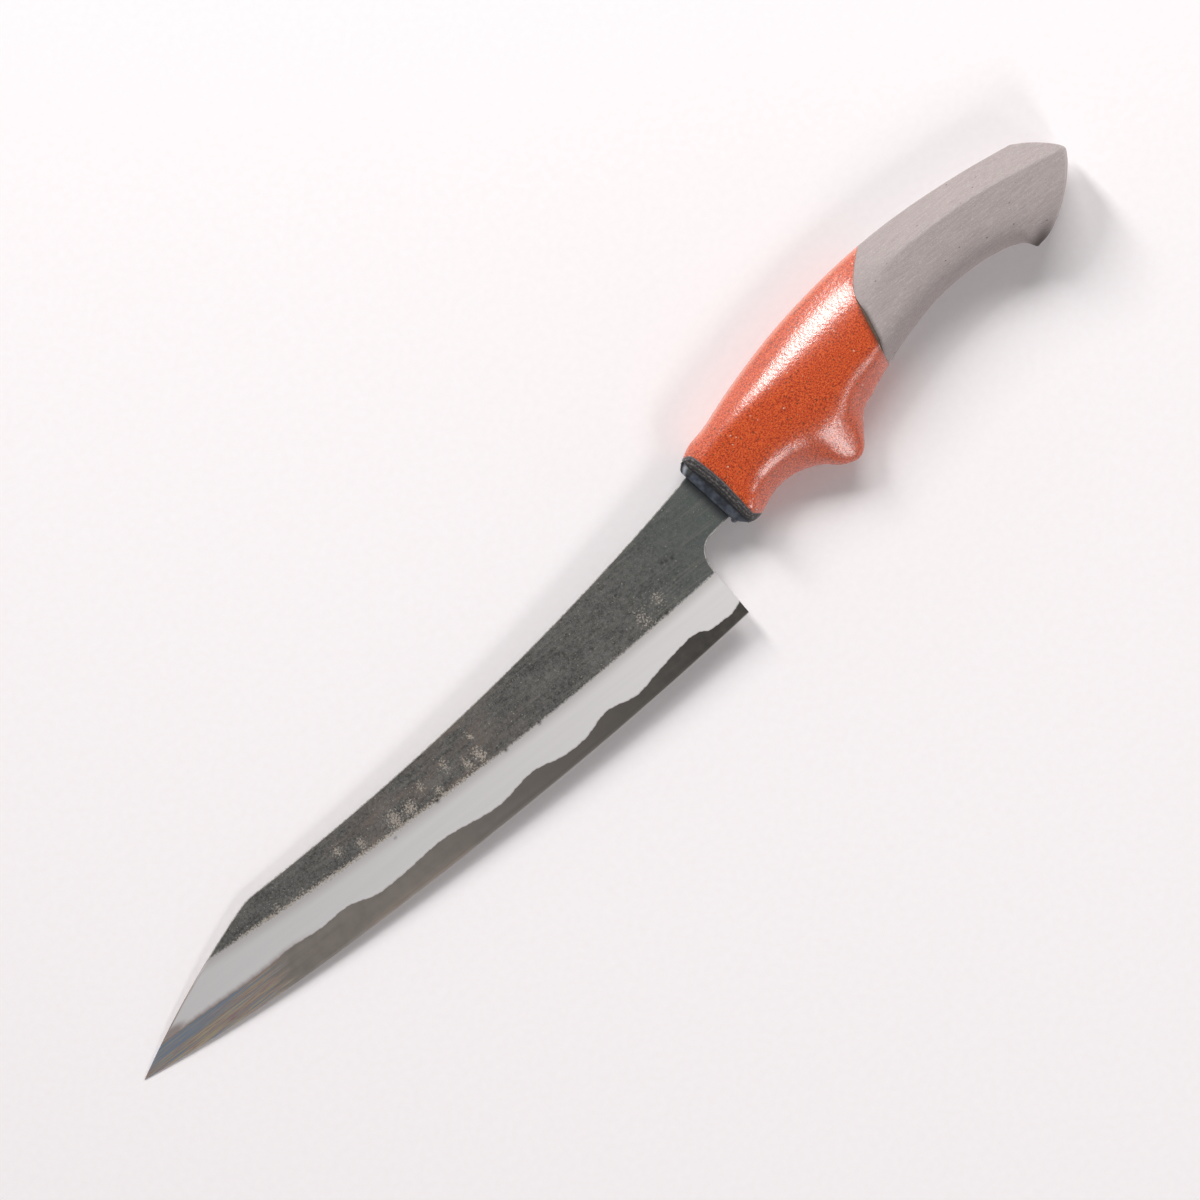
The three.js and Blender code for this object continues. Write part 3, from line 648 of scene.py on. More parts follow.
@dataclass(frozen=True)
class BlackResin:
    """Cast black resin, wiped smooth: blue-black, satin, with a faint bloom, darker at its top and a painted
    highlight there.
    """

    deep: str = "#2a2d35"
    bloom: str = "#50555f"
    soot: str = "#1d1c1e"
    glint: str = "#a2a8b4"
    cloud_mm: float = 2.0

    def material(self, from_object: bool = False) -> bpy.types.Material:
        """The finish as a material.

        Args:
            from_object: Whether the pattern is read from the object's place, as on a CAD node.

        Returns:
            The material.
        """
        material, node, shader = blank("cast_resin_blue_black" + ("_hidden" if from_object else ""))
        unit = MM if from_object else 1.0
        place = (node("TexCoord", out="Object") if from_object
                 else node("Attribute", out="Vector", attribute_name="place"))
        soot, glint = (node("Attribute", attribute_name=mark) for mark in ("soot", "glint"))
        cloud = node("TexNoise", {"Vector": place, "Scale": 1 / (self.cloud_mm * unit), "Detail": 4})
        bloom = node("MapRange", (cloud, 0.35, 0.7))
        colour = self.deep
        # The glint mark is a painted highlight: a pale line where the top corner would catch the light
        for share, layer in ((bloom, self.bloom), (soot, self.soot), (glint, self.glint)):
            colour = node("Mix", {0: share, 6: colour, 7: layer})
        bump = node("Bump", {"Strength": 0.3, "Distance": 0.1 * MM, "Height": cloud})
        feed(shader, {"Base Color": colour, "Normal": bump, "Roughness": 0.38, "IOR": 1.52})
        return material


@dataclass(frozen=True)
class GlueLine:
    """Lacquer and wood-flour glue squeezed into the joint: dark brown, matt and crumbly."""

    dark: str = "#3d2e25"
    light: str = "#705b4c"
    crumb_mm: float = 0.6

    def material(self) -> bpy.types.Material:
        """The finish as a material.

        Returns:
            The material.
        """
        material, node, shader = blank("lacquer_glue_dark_brown")
        place = node("Attribute", out="Vector", attribute_name="place")
        crumb = node("TexNoise", {"Vector": place, "Scale": 1 / self.crumb_mm, "Detail": 4})
        colour = node("Mix", {0: crumb, 6: self.dark, 7: self.light})
        bump = node("Bump", {"Strength": 0.8, "Distance": 0.1 * MM, "Height": crumb})
        feed(shader, {"Base Color": colour, "Normal": bump, "Roughness": 0.75})
        return material


@dataclass(frozen=True)
class GreyWood:
    """Bare fine-grained wood stained grey, filed and sanded, with no finish on it.

    The eye gets a dry taupe surface with fine grain lines along the handle, pores and pale specks, a painted
    highlight along the lower arris of the butt, and a dark crook of the beak, partly stain and partly painted shade.
    """

    taupe: str = "#a49997"
    pale: str = "#b1a6a4"
    dark: str = "#968b89"
    dust: str = "#c8bebc"
    pore: str = "#6b6260"
    rim: str = "#c6bbb9"
    stain_and_shade: str = "#3d3734"
    dust_mm: float = 0.4
    grain_mm: Triple = (5.0, 0.3, 0.3)
    pore_mm: Triple = (2.6, 1.3, 1.3)

    def material(self) -> bpy.types.Material:
        """The finish as a material.

        Returns:
            The material.
        """
        material, node, shader = blank("bare_grey_stained_wood_sanded")
        place = node("Attribute", out="Vector", attribute_name="place")
        crook, rim = (node("Attribute", attribute_name=mark) for mark in ("crook", "rim"))
        fibres, cells = (node("Mapping", {"Vector": place, "Scale": per(sizes)})
                         for sizes in (self.grain_mm, self.pore_mm))
        grain = node("TexNoise", {"Vector": fibres, "Scale": 1.0, "Detail": 4, "Roughness": 0.6, "Distortion": 0.25})
        dust = node("TexNoise", {"Vector": place, "Scale": 1 / self.dust_mm, "Detail": 3, "Roughness": 0.7})
        lit = node("MapRange", (grain, 0.5, 0.8))
        shade = node("MapRange", (grain, 0.5, 0.22))
        powder = node("MapRange", (dust, 0.54, 0.74, 0, 0.7))
        cell = node("TexVoronoi", {"Vector": cells, "Scale": 1.0}, "Color")
        chosen = node("MapRange", (node("SeparateColor", (cell,)), 0.8, 0.82))
        dot = node("MapRange", (cell.node.outputs["Distance"], 0.15, 0.07))
        pores = node("Math", (chosen, dot), operation="MULTIPLY")
        colour = self.taupe
        for share, layer in ((lit, self.pale), (shade, self.dark), (powder, self.dust), (pores, self.pore),
                             (rim, self.rim), (crook, self.stain_and_shade)):
            colour = node("Mix", {0: share, 6: colour, 7: layer})
        bump = node("Bump", {"Strength": 0.5, "Distance": 0.06 * MM, "Height": grain})
        feed(shader, {"Base Color": colour, "Normal": bump, "Roughness": 0.85, "IOR": 1.45})
        return material


@dataclass(frozen=True)
class TurnedHardwood:
    """Plain turned hardwood, unseen inside the handle: straw brown with a straight grain."""

    light: str = "#bd9466"
    dark: str = "#94693f"
    grain_mm: Triple = (30.0, 0.8, 0.8)

    def material(self) -> bpy.types.Material:
        """The finish as a material.

        Returns:
            The material.
        """
        material, node, shader = blank("turned_hardwood_plain")
        fibres = node("Mapping", {"Vector": node("TexCoord", out="Object"), "Scale": per(self.grain_mm, MM)})
        grain = node("TexNoise", {"Vector": fibres, "Scale": 1.0, "Detail": 3})
        colour = node("Mix", {0: grain, 6: self.dark, 7: self.light})
        feed(shader, {"Base Color": colour, "Roughness": 0.7})
        return material


@dataclass(frozen=True)
class PaperSheet:
    """A pale studio sheet, slightly rosy, with a faint tooth."""

    pale: str = "#faf5f6"
    shade: str = "#f4eff0"
    tooth_mm: float = 2.0

    def material(self) -> bpy.types.Material:
        """The finish as a material.

        Returns:
            The material.
        """
        material, node, shader = blank("studio_paper_pale")
        tooth = node("TexNoise", {"Vector": node("TexCoord", out="Object"), "Scale": 1 / (self.tooth_mm * MM),
                                  "Detail": 3})
        colour = node("Mix", {0: tooth, 6: self.shade, 7: self.pale})
        feed(shader, {"Base Color": colour, "Roughness": 0.9, "Specular IOR Level": 0.2})
        return material


# Blade


@dataclass(frozen=True)
class TangAxis:
    """The tang's axis: from the mouth of the handle back into it, rising by an angle."""

    mouth: Pair = (10.4, 31.9)
    rise: float = math.radians(10)

    def place(self, along: Array, aside: Array) -> tuple[Array, Array]:
        """The plan point at a distance behind the mouth, along the axis, and a distance across it."""
        c, s = math.cos(self.rise), math.sin(self.rise)
        return self.mouth[0] + along * c - aside * s, self.mouth[1] + along * s + aside * c

    def along(self, x: Array, y: Array) -> Array:
        """Distance of a plan point behind the mouth, along the axis."""
        return (x - self.mouth[0]) * math.cos(self.rise) + (y - self.mouth[1]) * math.sin(self.rise)

    def square(self, along: float, y: Array) -> Array:
        """The plan line square to the axis at a distance behind the mouth, as x for a height."""
        lift = (y - self.mouth[1]) * math.sin(self.rise)
        return self.mouth[0] + (along - lift) / math.cos(self.rise)


@dataclass(frozen=True)
class Blade:
    """The laminated blade: a core that shows along the edge, between two claddings, with its neck and tang."""

    lay: Lay
    axis: TangAxis = TangAxis()
    length: float = 210.0
    edge_belly: float = 5.15
    edge_low: float = 88.0
    edge_fullness: float = 2.3
    tip_cut: float = 52.5
    tip_bulge: float = 1.4
    tip_blend: float = 0.9
    tip_blunt: float = 0.15
    cut_height: float = 22.1
    heel_height: float = 38.0
    choil_top: float = 15.0
    choil_lean: float = 0.7
    fillet_run: float = 5.5
    neck_slope: float = 0.1
    neck_thickness: float = 3.4
    cut_thickness: float = 1.9
    bevel_heel: float = 14.5
    bevel_waist: float = 11.2
    waist: float = 82.0
    land_height: float = 0.7
    land_thickness: float = 0.36
    edge_thickness: float = 0.1
    weld_gap: float = 0.02
    sliver: float = 0.01
    neck_drop: float = 8.1
    shoulder: float = 3.0
    tang_length: float = 88.0
    tang_half: Pair = (3.7, 2.5)
    tang_end_thickness: float = 2.2
    arris: Pair = (0.45, 0.225)
    step: float = 0.5
    core_step: float = 1.5
    tip_steps: tuple[float, ...] = (0, 0.1, 0.3, 0.7)
    rim_steps: tuple[float, ...] = (0, 0.1, 0.25, 0.46)
    fan_start: float = -40.0
    fan_lag: float = 15.0
    well_above: float = 20.0
    tremor: tuple[Triple, ...] = ((0.07, 1.7, 0), (0.05, 3.9, 1), (0.03, 7.3, 2))
    film_tip: Pair = (-160, -166)
    film_edge: Stretch = (-142, -132, -106, -96)
    tarnish_tip: Pair = (-142, -170)
    tarnish_patch: Pair = (-196, 5.5)
    mouth_darkening_reach: Pair = (3.2, 0.6)
    pit_fringe: Stretch = (-172, -160, -90, -74)
    pit_stretch: float = 1.4
    pit_spots: tuple[Stretch, ...] = (
        (-163, 13.8, 1.6, 0.6), (-152, 15.2, 1.3, 0.6), (-144, 12.8, 2.0, 0.7), (-129.5, 17.2, 1.5, 0.9),
        (-123, 15, 1.6, 0.9), (-111.6, 14.4, 2.5, 1.0), (-106.3, 14.2, 2.3, 1.0), (-100.6, 17.4, 1.3, 0.8),
        (-97.4, 12.7, 1.8, 0.9), (-92, 17.8, 1.7, 0.8), (-86.4, 14.4, 1.6, 0.9), (-82.4, 14.6, 2.0, 1.0),
        (-81.2, 20, 1.1, 0.8), (-24, 16.3, 2.6, 0.62), (-17.5, 18.4, 2.0, 0.66))
    dents: tuple[Triple, ...] = (
        (-99.2, 11.5, 0.6), (-75.8, 11.0, 0.5), (-64, 11.2, 0.45), (-17.9, 13.6, 0.5), (-10.6, 25.4, 0.5),
        (-9.4, 25.1, 0.45), (-7.6, 24.7, 0.5), (-114.6, 10.4, 0.3), (-98, 12.4, 0.5))
    waves: SmoothLine = SmoothLine(
        (0, 4.1), (3, 2.8), (8, 2.6), (11.6, 2.75), (13.8, 3.9), (16, 4.35), (20, 4), (30, 2.3), (38, 0.8),
        (47.5, 2.4), (57, 0), (64, -0.1), (73, 1.7), (86, 0), (105, 2.1), (121, 1.1), (128, 1.15), (136, 3.45),
        (146, 3.25), (157, 4.1), (163, 3.7), (185, 4.3), (210, 5.2))

    @property
    def cut_x(self) -> float:
        """Where the tip cut meets the spine."""
        return self.tip_cut - self.length

    @property
    def low_x(self) -> float:
        """Where the cutting edge bows out most."""
        return self.edge_low - self.length

    def edge(self, x: Array) -> Array:
        """Height of the cutting edge: a shallow bow that is deepest nearer the tip."""
        run = np.where(x < self.low_x, self.low_x + self.length, -self.low_x)
        return -self.edge_belly * (1 - np.minimum(np.abs(x - self.low_x) / run, 1) ** self.edge_fullness)

    def spine(self, x: Array) -> Array:
        """Height of the spine: a parabola that rises from the tip cut to the neck."""
        rise = (x - self.cut_x) / -self.cut_x
        return self.cut_height + (self.heel_height - self.cut_height) * rise**2

    def top(self, x: Array) -> Array:
        """Height of the upper outline: the lower of the bulging tip cut and the spine, blended where they meet.

        Args:
            x: Places along the blade.

        Returns:
            Heights.
        """
        u = (x + self.length) / self.tip_cut
        cut = np.where(u < 1.2, self.cut_height * u + 4 * self.tip_bulge * u * (1 - u), np.inf)
        spine = self.spine(x)
        overlap = np.maximum(self.tip_blend - np.abs(cut - spine), 0) / self.tip_blend
        return np.minimum(cut, spine) - overlap**2 * self.tip_blend / 4

    def bevel(self, x: Array) -> Array:
        """Height of the line where the flat turns into the bevel: a shallow parabola with a waist."""
        rise = (x + self.waist) / self.waist
        return self.bevel_waist + (self.bevel_heel - self.bevel_waist) * rise**2

    def ridge(self, x: Array) -> Array:
        """Height of the bevel's upper line: the bevel line, or the tip cut where that is lower."""
        return np.minimum(self.bevel(x), self.top(x))

    def flat_half(self, x: Array) -> Array:
        """Half thickness between the flats: thinner in a straight line both ways from the neck.

        Args:
            x: Places along the blade.

        Returns:
            Half thicknesses.
        """
        neck, end = (self.axis.place(along, 0)[0] for along in (self.shoulder, self.shoulder + self.tang_length))
        front = (self.cut_thickness - self.neck_thickness) * (x - neck) / (self.cut_x - neck)
        back = (self.tang_end_thickness - self.neck_thickness) * (x - neck) / (end - neck)
        return (self.neck_thickness + np.where(x < neck, front, back)) / 2

    def weld(self, x: Array) -> Array:
        """Height of the wavy line where the core comes out of the cladding, with a fine hand-forged tremor."""
        return self.waves(-x) + sum(height * np.sin(rate * x + phase) for height, rate, phase in self.tremor)

    def shown(self, x: Array) -> Array:
        """Height where the bare core ends: at the weld line, or just inside the tip cut."""
        return np.minimum(self.weld(x), self.top(x) - self.sliver)

    def land(self, x: Array) -> Array:
        """Height of the honed land's upper border."""
        return self.edge(x) + np.minimum(self.land_height, (self.top(x) - self.edge(x)) / 3)

    def half(self, x: Array, y: Array) -> Array:
        """Half thickness at a plan point: the land, then the straight bevel up to the flat.

        Args:
            x: Places along the blade.
            y: Heights.

        Returns:
            Half thicknesses.
        """
        edge, land = self.edge(x), self.land(x)
        low = self.edge_thickness / 2
        rise = low + (self.land_thickness / 2 - low) * np.clip(y - edge, 0, land - edge) / self.land_height
        slope = (self.flat_half(x) - self.land_thickness / 2) / (self.bevel(x) - edge - self.land_height)
        return rise + slope * np.maximum(np.minimum(y, self.bevel(x)) - land, 0)

    def weld_half(self, x: Array) -> Array:
        """Half thickness of the core between the claddings."""
        return self.half(x, np.minimum(self.waves(-x), self.top(x)))

    def inner(self, x: Array) -> Array:
        """Height of the cladding's inner face, a weld gap off the core."""
        return self.weld_half(x) + self.weld_gap

    def starts(self, line: Line) -> float:
        """Where the upper outline first stands a little above a line, going from the tip."""
        x = np.linspace(-self.length, -self.length / 2, 8000)
        return float(x[np.argmax(self.top(x) - line(x) > 0.03)])

    def choil(self, y: Array) -> Array:
        """The straight line above the heel, as x for a height."""
        return -self.choil_lean / self.choil_top * y

    def band(self, first: float, low: Line, high: Line, count: int) -> tuple[Array, Array]:
        """A plan grid between two lines, from the tip's side to the choil, which its last rows lean into.

        Args:
            first: Where it starts.
            low: Its lower line.
            high: Its upper line.
            count: Points across.

        Returns:
            x and y.
        """
        fine = first + np.array(self.tip_steps)
        base = np.concatenate([fine, np.arange(fine[-1] + self.step, 0, self.step), [0.0]])[:, None]
        share = np.linspace(0, 1, count)[None, :]
        follow = ramp(base, -12, 0)
        x = base * np.ones_like(share)
        for _ in range(3):
            x = base + self.choil(low(x) + (high(x) - low(x)) * share) * follow
        return x, low(x) + (high(x) - low(x)) * share

    def foot(self, front: Array, low: Line) -> Array:
        """The plate's lower outline: a line, then up the choil, round a parabola and straight under the neck.

        Args:
            front: x of the points on the line.
            low: The line.

        Returns:
            Plan points, one row each.
        """
        low_y = float(low(self.choil(low(np.array(0.0)))))
        upright = np.linspace(low_y, self.choil_top, max(int((self.choil_top - low_y) / 0.5), 3), endpoint=False)
        neck_x, neck_y = self.axis.place(0.0, -self.neck_drop)
        start = np.array([-self.choil_lean, self.choil_top])
        end = np.array([self.fillet_run, neck_y - (neck_x - self.fillet_run) * self.neck_slope])
        fillet = parabola(start, np.array([start[0], end[1] - self.choil_lean]), end, 24)
        last = np.array(self.axis.place(self.shoulder, -self.neck_drop))
        neck = end + (last - end) * np.linspace(0, 1, 16)[1:, None]
        return np.concatenate([np.stack([front, low(front)], -1), np.stack([self.choil(upright), upright], -1),
                               fillet, neck])

    def head(self, front: Array, rear: int) -> Array:
        """The plate's upper outline, which lags more and more behind the foot, to fan the columns round the choil.

        Args:
            front: x of the foot's points that are on its line.
            rear: How many points follow them, up to the shoulder.

        Returns:
            Plan points, one row each.
        """
        aside = 7.0
        for _ in range(6):
            x_end, _ = self.axis.place(self.shoulder, aside)
            rest = self.spine(np.array(x_end)) - self.axis.place(self.shoulder, 0.0)[1]
            aside = float(rest / math.cos(self.axis.rise))
        lag = front[-1] - self.fan_lag
        fan = (front - self.fan_start) * (lag - self.fan_start) / (front[-1] - self.fan_start)
        x = np.where(front < self.fan_start, front, self.fan_start + fan)
        x = np.concatenate([x, np.linspace(lag, x_end, rear + 1)[1:]])
        return np.stack([x, self.top(x)], -1)

    def plate(self, first: float, low: Line, step: float, columns: int) -> tuple[Array, Array, Array]:
        """A plan grid from a line up to the spine, carried on past the choil and the neck to the shoulder.

        Columns run from a foot, on the line and then round the choil and under the neck, to a head on the spine.

        Args:
            first: Where it starts.
            low: The lower line.
            step: Step along, in mm.
            columns: Columns across, between the fine ones at both ends.

        Returns:
            x, y and the distance from the nearest arris, which is the head or, past the line, the foot.
        """
        front = np.arange(first, float(self.choil(low(np.array(0.0)))), step)
        foot = self.foot(front, low)
        head = self.head(front, len(foot) - len(front))
        reach = np.linalg.norm(head - foot, axis=1, keepdims=True)
        fine = np.minimum(np.array(self.rim_steps), reach * np.linspace(0, 0.3, len(self.rim_steps)))
        share = np.linspace(0, 1, columns + 2)[1:-1]
        spread = np.concatenate([fine, fine[:, -1:] + (reach - 2 * fine[:, -1:]) * share, reach - fine[:, ::-1]], 1)
        plan = foot[:, None] + (head - foot)[:, None] * (spread / reach)[..., None]
        past = (np.arange(len(foot)) >= len(front))[:, None]
        to_arris = np.minimum(reach - spread, np.where(past, spread, np.inf))
        return plan[..., 0], plan[..., 1], to_arris

    def tang(self, low: Line, high: Line) -> Shell:
        """One layer of the tang: a plate between two heights, tapering to its end.

        Args:
            low: Height of its lower face.
            high: Height of its upper face.

        Returns:
            The layer.
        """
        share = np.linspace(0, 1, 24)[:, None]
        root, end = self.tang_half
        aside = (root + (end - root) * share) * np.linspace(-1, 1, 5)[None, :]
        x, y = self.axis.place((self.shoulder + self.tang_length * share) * np.ones_like(aside), aside)
        return slab(x, y, low(x), high(x), {"rise": np.full_like(x, self.well_above)})

    def pitting(self, x: Array, y: Array) -> Array:
        """How pitted the forge scale is: round spots, taller than wide, and a fringe on the front half's border.

        Args:
            x: Places along the blade.
            y: Heights.

        Returns:
            Shares.
        """
        spots = np.array(self.pit_spots)[:, None, None, :]
        gap = ((x - spots[..., 0]) ** 2 + ((y - spots[..., 1]) / self.pit_stretch) ** 2) / spots[..., 2] ** 2
        fringe = 0.72 * within(x, self.pit_fringe) * ramp(y - self.bevel(x), 2.0, 0.3)
        return np.maximum((np.exp(-gap) * spots[..., 3]).max(0), fringe)

    def dented(self, x: Array, y: Array) -> Array:
        """How deep a point lies in one of the small dark dents: a bell round each."""
        dents = np.array(self.dents)[:, None, None, :]
        return np.exp(-((x - dents[..., 0]) ** 2 + (y - dents[..., 1]) ** 2) / dents[..., 2] ** 2).max(0)

    def tarnished(self, x: Array, y: Array) -> Array:
        """How brown the bevel is: beside the core, more so near the tip, and in a patch near it, with painted shade
        along the tip cut's edge.

        Args:
            x: Places along the blade.
            y: Heights.

        Returns:
            Shares.
        """
        above = y - self.weld(x)
        beside = 0.75 * ramp(above, 1.6, 0) * ramp(x, *self.tarnish_tip) + 0.5 * ramp(above, 0.35, 0.05)
        # Painted shade: a dark line along the rounded arris of the tip cut
        cut = 0.9 * ramp(self.top(x) - y, 0.55, 0.2)
        patch_x, patch_y = self.tarnish_patch
        patch = 0.8 * ramp(np.hypot((x - patch_x) / 3, y - patch_y), 2.2, 0.6)
        return np.minimum(np.maximum(np.maximum(beside, cut), patch), 0.9)

    def honed(self, x: Array, y: Array) -> Array:
        """How bright the land is: along its lowest part, less so in the front half."""
        return (0.2 + 0.6 * ramp(x, -105, -85)) * ramp(y - self.edge(x), 0.3, 0.08)

    def filmed(self, x: Array, y: Array) -> Array:
        """How strong the oxide films are: up to a ragged line near the tip, and weakly in a stretch of the edge.

        Args:
            x: Places along the blade.
            y: Heights.

        Returns:
            Shares.
        """
        ragged = 3 * np.sin(2.9 * y) + 2 * np.sin(7.1 * y + 1)
        near_tip = 0.75 * ramp(x + ragged, *self.film_tip)
        near_edge = 0.3 * within(x, self.film_edge) * ramp(y - self.edge(x), 2.6, 0.8)
        return np.maximum(near_tip, near_edge)

    def core_shells(self) -> list[Shell]:
        """The core: its honed land and bare band along the edge, the plate between the claddings, and the tang.

        Returns:
            Its four shells.
        """
        first = self.tip_blunt - self.length
        x, y = self.band(first, self.edge, self.land, 9)
        half = self.half(x, y)
        land = slab(x, y, -half, half, {"land": self.honed(x, y), "film": self.filmed(x, y)})
        x, y = self.band(first, self.land, self.shown, 14)
        half = self.half(x, y)
        bare = slab(x, y, -half, half, {"film": self.filmed(x, y)})
        x, y, _ = self.plate(self.starts(self.weld), self.weld, self.core_step, 10)
        half = self.weld_half(x)
        return [land, bare, slab(x, y, -half, half, {}), self.tang(lambda x: -self.weld_half(x), self.weld_half)]

    def cladding_shells(self) -> list[Shell]:
        """The left cladding: its bevel, its flat with the neck, and its layer of the tang.

        Returns:
            Its three shells.
        """
        x, y = self.band(self.starts(self.weld), self.weld, self.ridge, 26)
        to_cut, half, inner = self.top(x) - y, self.half(x, y), self.inner(x)
        # The bare mark is bare metal on the worn arris and partly a painted highlight
        marks = {"rise": y - self.bevel(x), "pitting": self.pitting(x, y), "tarnish": self.tarnished(x, y),
                 "bare": ramp(to_cut, 0.5, 0.1), "dent": self.dented(x, y)}
        bevel = slab(x, y, np.minimum(inner, half - self.sliver),
                     np.maximum(half - worn(to_cut, *self.arris), inner + self.sliver), marks)
        x, y, to_arris = self.plate(self.starts(self.bevel), self.bevel, self.step, 36)
        half, inner = self.flat_half(x) - worn(to_arris, *self.arris), self.inner(x)
        # The bare mark is bare metal on the worn arris and partly a painted highlight
        marks = {"rise": np.where(x > -0.6, self.well_above, y - self.bevel(x)), "pitting": self.pitting(x, y),
                 "bare": ramp(to_arris, 0.45, 0.1), "dent": self.dented(x, y),
                 # Darker on the neck next to the handle's mouth
                 "smear": 0.8 * ramp(-self.axis.along(x, y), *self.mouth_darkening_reach)}
        flat = slab(x, y, inner, np.maximum(half, inner + self.sliver), marks)
        return [bevel, flat, self.tang(self.inner, self.flat_half)]

    def build(self) -> list[bpy.types.Object]:
        """Makes and dresses the three layers.

        Returns:
            The core and the two claddings.
        """
        iron, steel = ForgeScaledIron().material(), CoreSteel().material()
        core = make_piece("blade_core", self.core_shells(), self.lay, steel)
        left = self.cladding_shells()
        layers = {Side.LEFT: left, Side.RIGHT: [shell.mirrored() for shell in left]}
        return [core] + [make_piece(f"cladding_{side.name.lower()}", shells, self.lay, iron)
                         for side, shells in layers.items()]


# Handle


@dataclass(frozen=True)
class CarvedLine:
    """A line carved along the grip: its height, its half thickness and the size of its rounding.

    The limit is the largest share of a facet's width that the rounding takes.
    """

    height: SmoothLine
    half: SmoothLine
    rounding: SmoothLine
    limit: float


@dataclass(frozen=True)
class Sculpt:
    """The carved form of the grip: four lines along it, on each side, with soft or crisp corners."""

    crown: CarvedLine = CarvedLine(
        SmoothLine((4, 39.2), (10.5, 43.9), (14, 45.9), (20, 47.45), (32, 51.5), (50, 56.45), (68, 59.6), (90, 61.3),
                   (116, 60.05), (134, 57.65), (150, 54.9)),
        SmoothLine((8, 3), (16, 3.6), (40, 2.6), (70, 2), (84, 1.5), (146, 1.3)),
        SmoothLine((8, 2.6), (16, 3.4), (30, 5), (64, 4.6), (76, 3), (85, 0.8), (92, 0.5), (100, 0.4), (146, 0.4)),
        0.38)
    ridge: CarvedLine = CarvedLine(
        SmoothLine((8, 37.5), (12, 40.5), (16, 42.5), (20, 43.7), (30, 45.5), (50, 47.6), (70, 49.3), (76, 50.1),
                   (82, 51.6), (90, 52.8), (100, 53.1), (110, 52.9), (120, 52.2), (130, 50.7), (146, 47.8)),
        SmoothLine((8, 7.3), (16, 7.5), (30, 8.6), (50, 9.2), (70, 9.4), (90, 9.4), (110, 9), (130, 8.2), (146, 7.3)),
        SmoothLine((8, 3.2), (20, 3.4), (34, 4), (48, 6), (62, 8), (74, 9), (81, 5.5), (88, 1.8), (95, 0.7),
                   (102, 0.5), (146, 0.5)),
        0.6)
    side: CarvedLine = CarvedLine(
        SmoothLine((8, 28), (12, 25.5), (16, 23.6), (19, 22.8), (21, 25.4), (25, 28.2), (30, 29.2), (50, 30.2),
                   (57, 31.2), (63, 33.2), (70, 34.3), (80, 37), (90, 39.4), (100, 40.8), (110, 40.8), (120, 39.3),
                   (130, 37.8), (146, 37.8)),
        SmoothLine((8, 7), (16, 7.3), (30, 8.5), (50, 9.1), (70, 9.1), (90, 8.7), (110, 8.1), (130, 7.4), (146, 7)),
        SmoothLine((8, 2), (16, 2.4), (18.5, 4.2), (21, 5.6), (25, 6.4), (31, 6.4), (40, 6), (50, 5), (60, 4.4),
                   (72, 4.2), (80, 4.2), (100, 5.5), (146, 5)),
        0.48)
    belly: CarvedLine = CarvedLine(
        SmoothLine((6, 26.8), (12, 21.9), (15.2, 19.5), (18, 19), (20, 19.5), (22, 20.45), (26, 22.05), (31, 22.55),
                   (36, 21.75), (41, 19.5), (45, 16.4), (47.5, 15.3), (50, 15), (52.5, 16.3), (55, 19.65), (58, 23.7),
                   (64, 26.95), (72, 30.3), (85, 34.5), (95, 36.6), (104, 37.1), (113, 36.5), (119, 35), (122, 33.4),
                   (123.7, 31), (126, 30), (146, 28)),
        SmoothLine((8, 3), (16, 3.6), (24, 2.6), (45, 2.4), (50, 2), (58, 2.6), (75, 3), (105, 3.2), (122, 2.8),
                   (146, 2.8)),
        SmoothLine((8, 2), (19, 2.2), (24, 3.2), (45, 3.6), (60, 3.6), (80, 3), (100, 3), (122, 2), (146, 2)),
        0.48)
    corner_steps: int = 14
    straight_steps: tuple[int, ...] = (2, 8, 12, 8, 2)

    def weights(self) -> Array:
        """How each strand of the half section mixes the section's control points.

        The control points are the top middle, then for each of the four corners where its rounding starts, the
        corner itself and where the rounding ends, and last the bottom middle. A strand on a corner mixes its three
        points as a parabola, and one on a straight mixes the two ends of the straight.

        Returns:
            One row for each strand, one column for each control point.
        """
        corners = len(self.straight_steps) - 1
        points = np.eye(3 * corners + 2)
        bend = np.linspace(0, 1, self.corner_steps + 1)[:-1, None]
        rows = []
        for part, steps in enumerate(self.straight_steps):
            start, end, *on = points[3 * part:3 * part + 4]
            run = np.linspace(0, 1, steps + 1)[:steps + (part == corners), None]
            rows.append(start * (1 - run) + end * run)
            if on:
                rows.append(end * (1 - bend) ** 2 + on[0] * 2 * bend * (1 - bend) + on[1] * bend**2)
        return np.concatenate(rows)

    def section(self, x: Array) -> tuple[Array, Array]:
        """Height and half thickness of each strand at its own x.

        Args:
            x: Places along the handle, one column for each strand.

        Returns:
            y and z of the same shape.
        """
        lines = (self.crown, self.ridge, self.side, self.belly)
        path = [np.stack([line.half(x), line.height(x)], -1) for line in lines]
        path = [path[0] * (0, 1), *path, path[-1] * (0, 1)]
        control = [path[0]]
        for line, a, b, c in zip(lines, path, path[1:], path[2:]):
            size = line.rounding(x)[..., None]
            back, on = ((end - b) * np.minimum(size / np.linalg.norm(end - b, axis=-1, keepdims=True), line.limit)
                        for end in (a, c))
            control += [b + back, b, b + on]
        control.append(path[-1])
        mixed = np.einsum("jk,kijc->ijc", self.weights(), np.stack(control))
        return mixed[..., 1], mixed[..., 0]

    def meet(self, line: Line, span: Pair) -> Array:
        """Where each strand crosses a plan line, found by halving.

        Args:
            line: The plan line, as x for a height.
            span: An x before the line and one past it.

        Returns:
            x for each strand.
        """
        before, past = (np.full((1, len(self.weights())), end) for end in span)
        for _ in range(40):
            middle = (before + past) / 2
            over = middle > line(self.section(middle)[0])
            past = np.where(over, middle, past)
            before = np.where(over, before, middle)
        return (before + past)[0] / 2


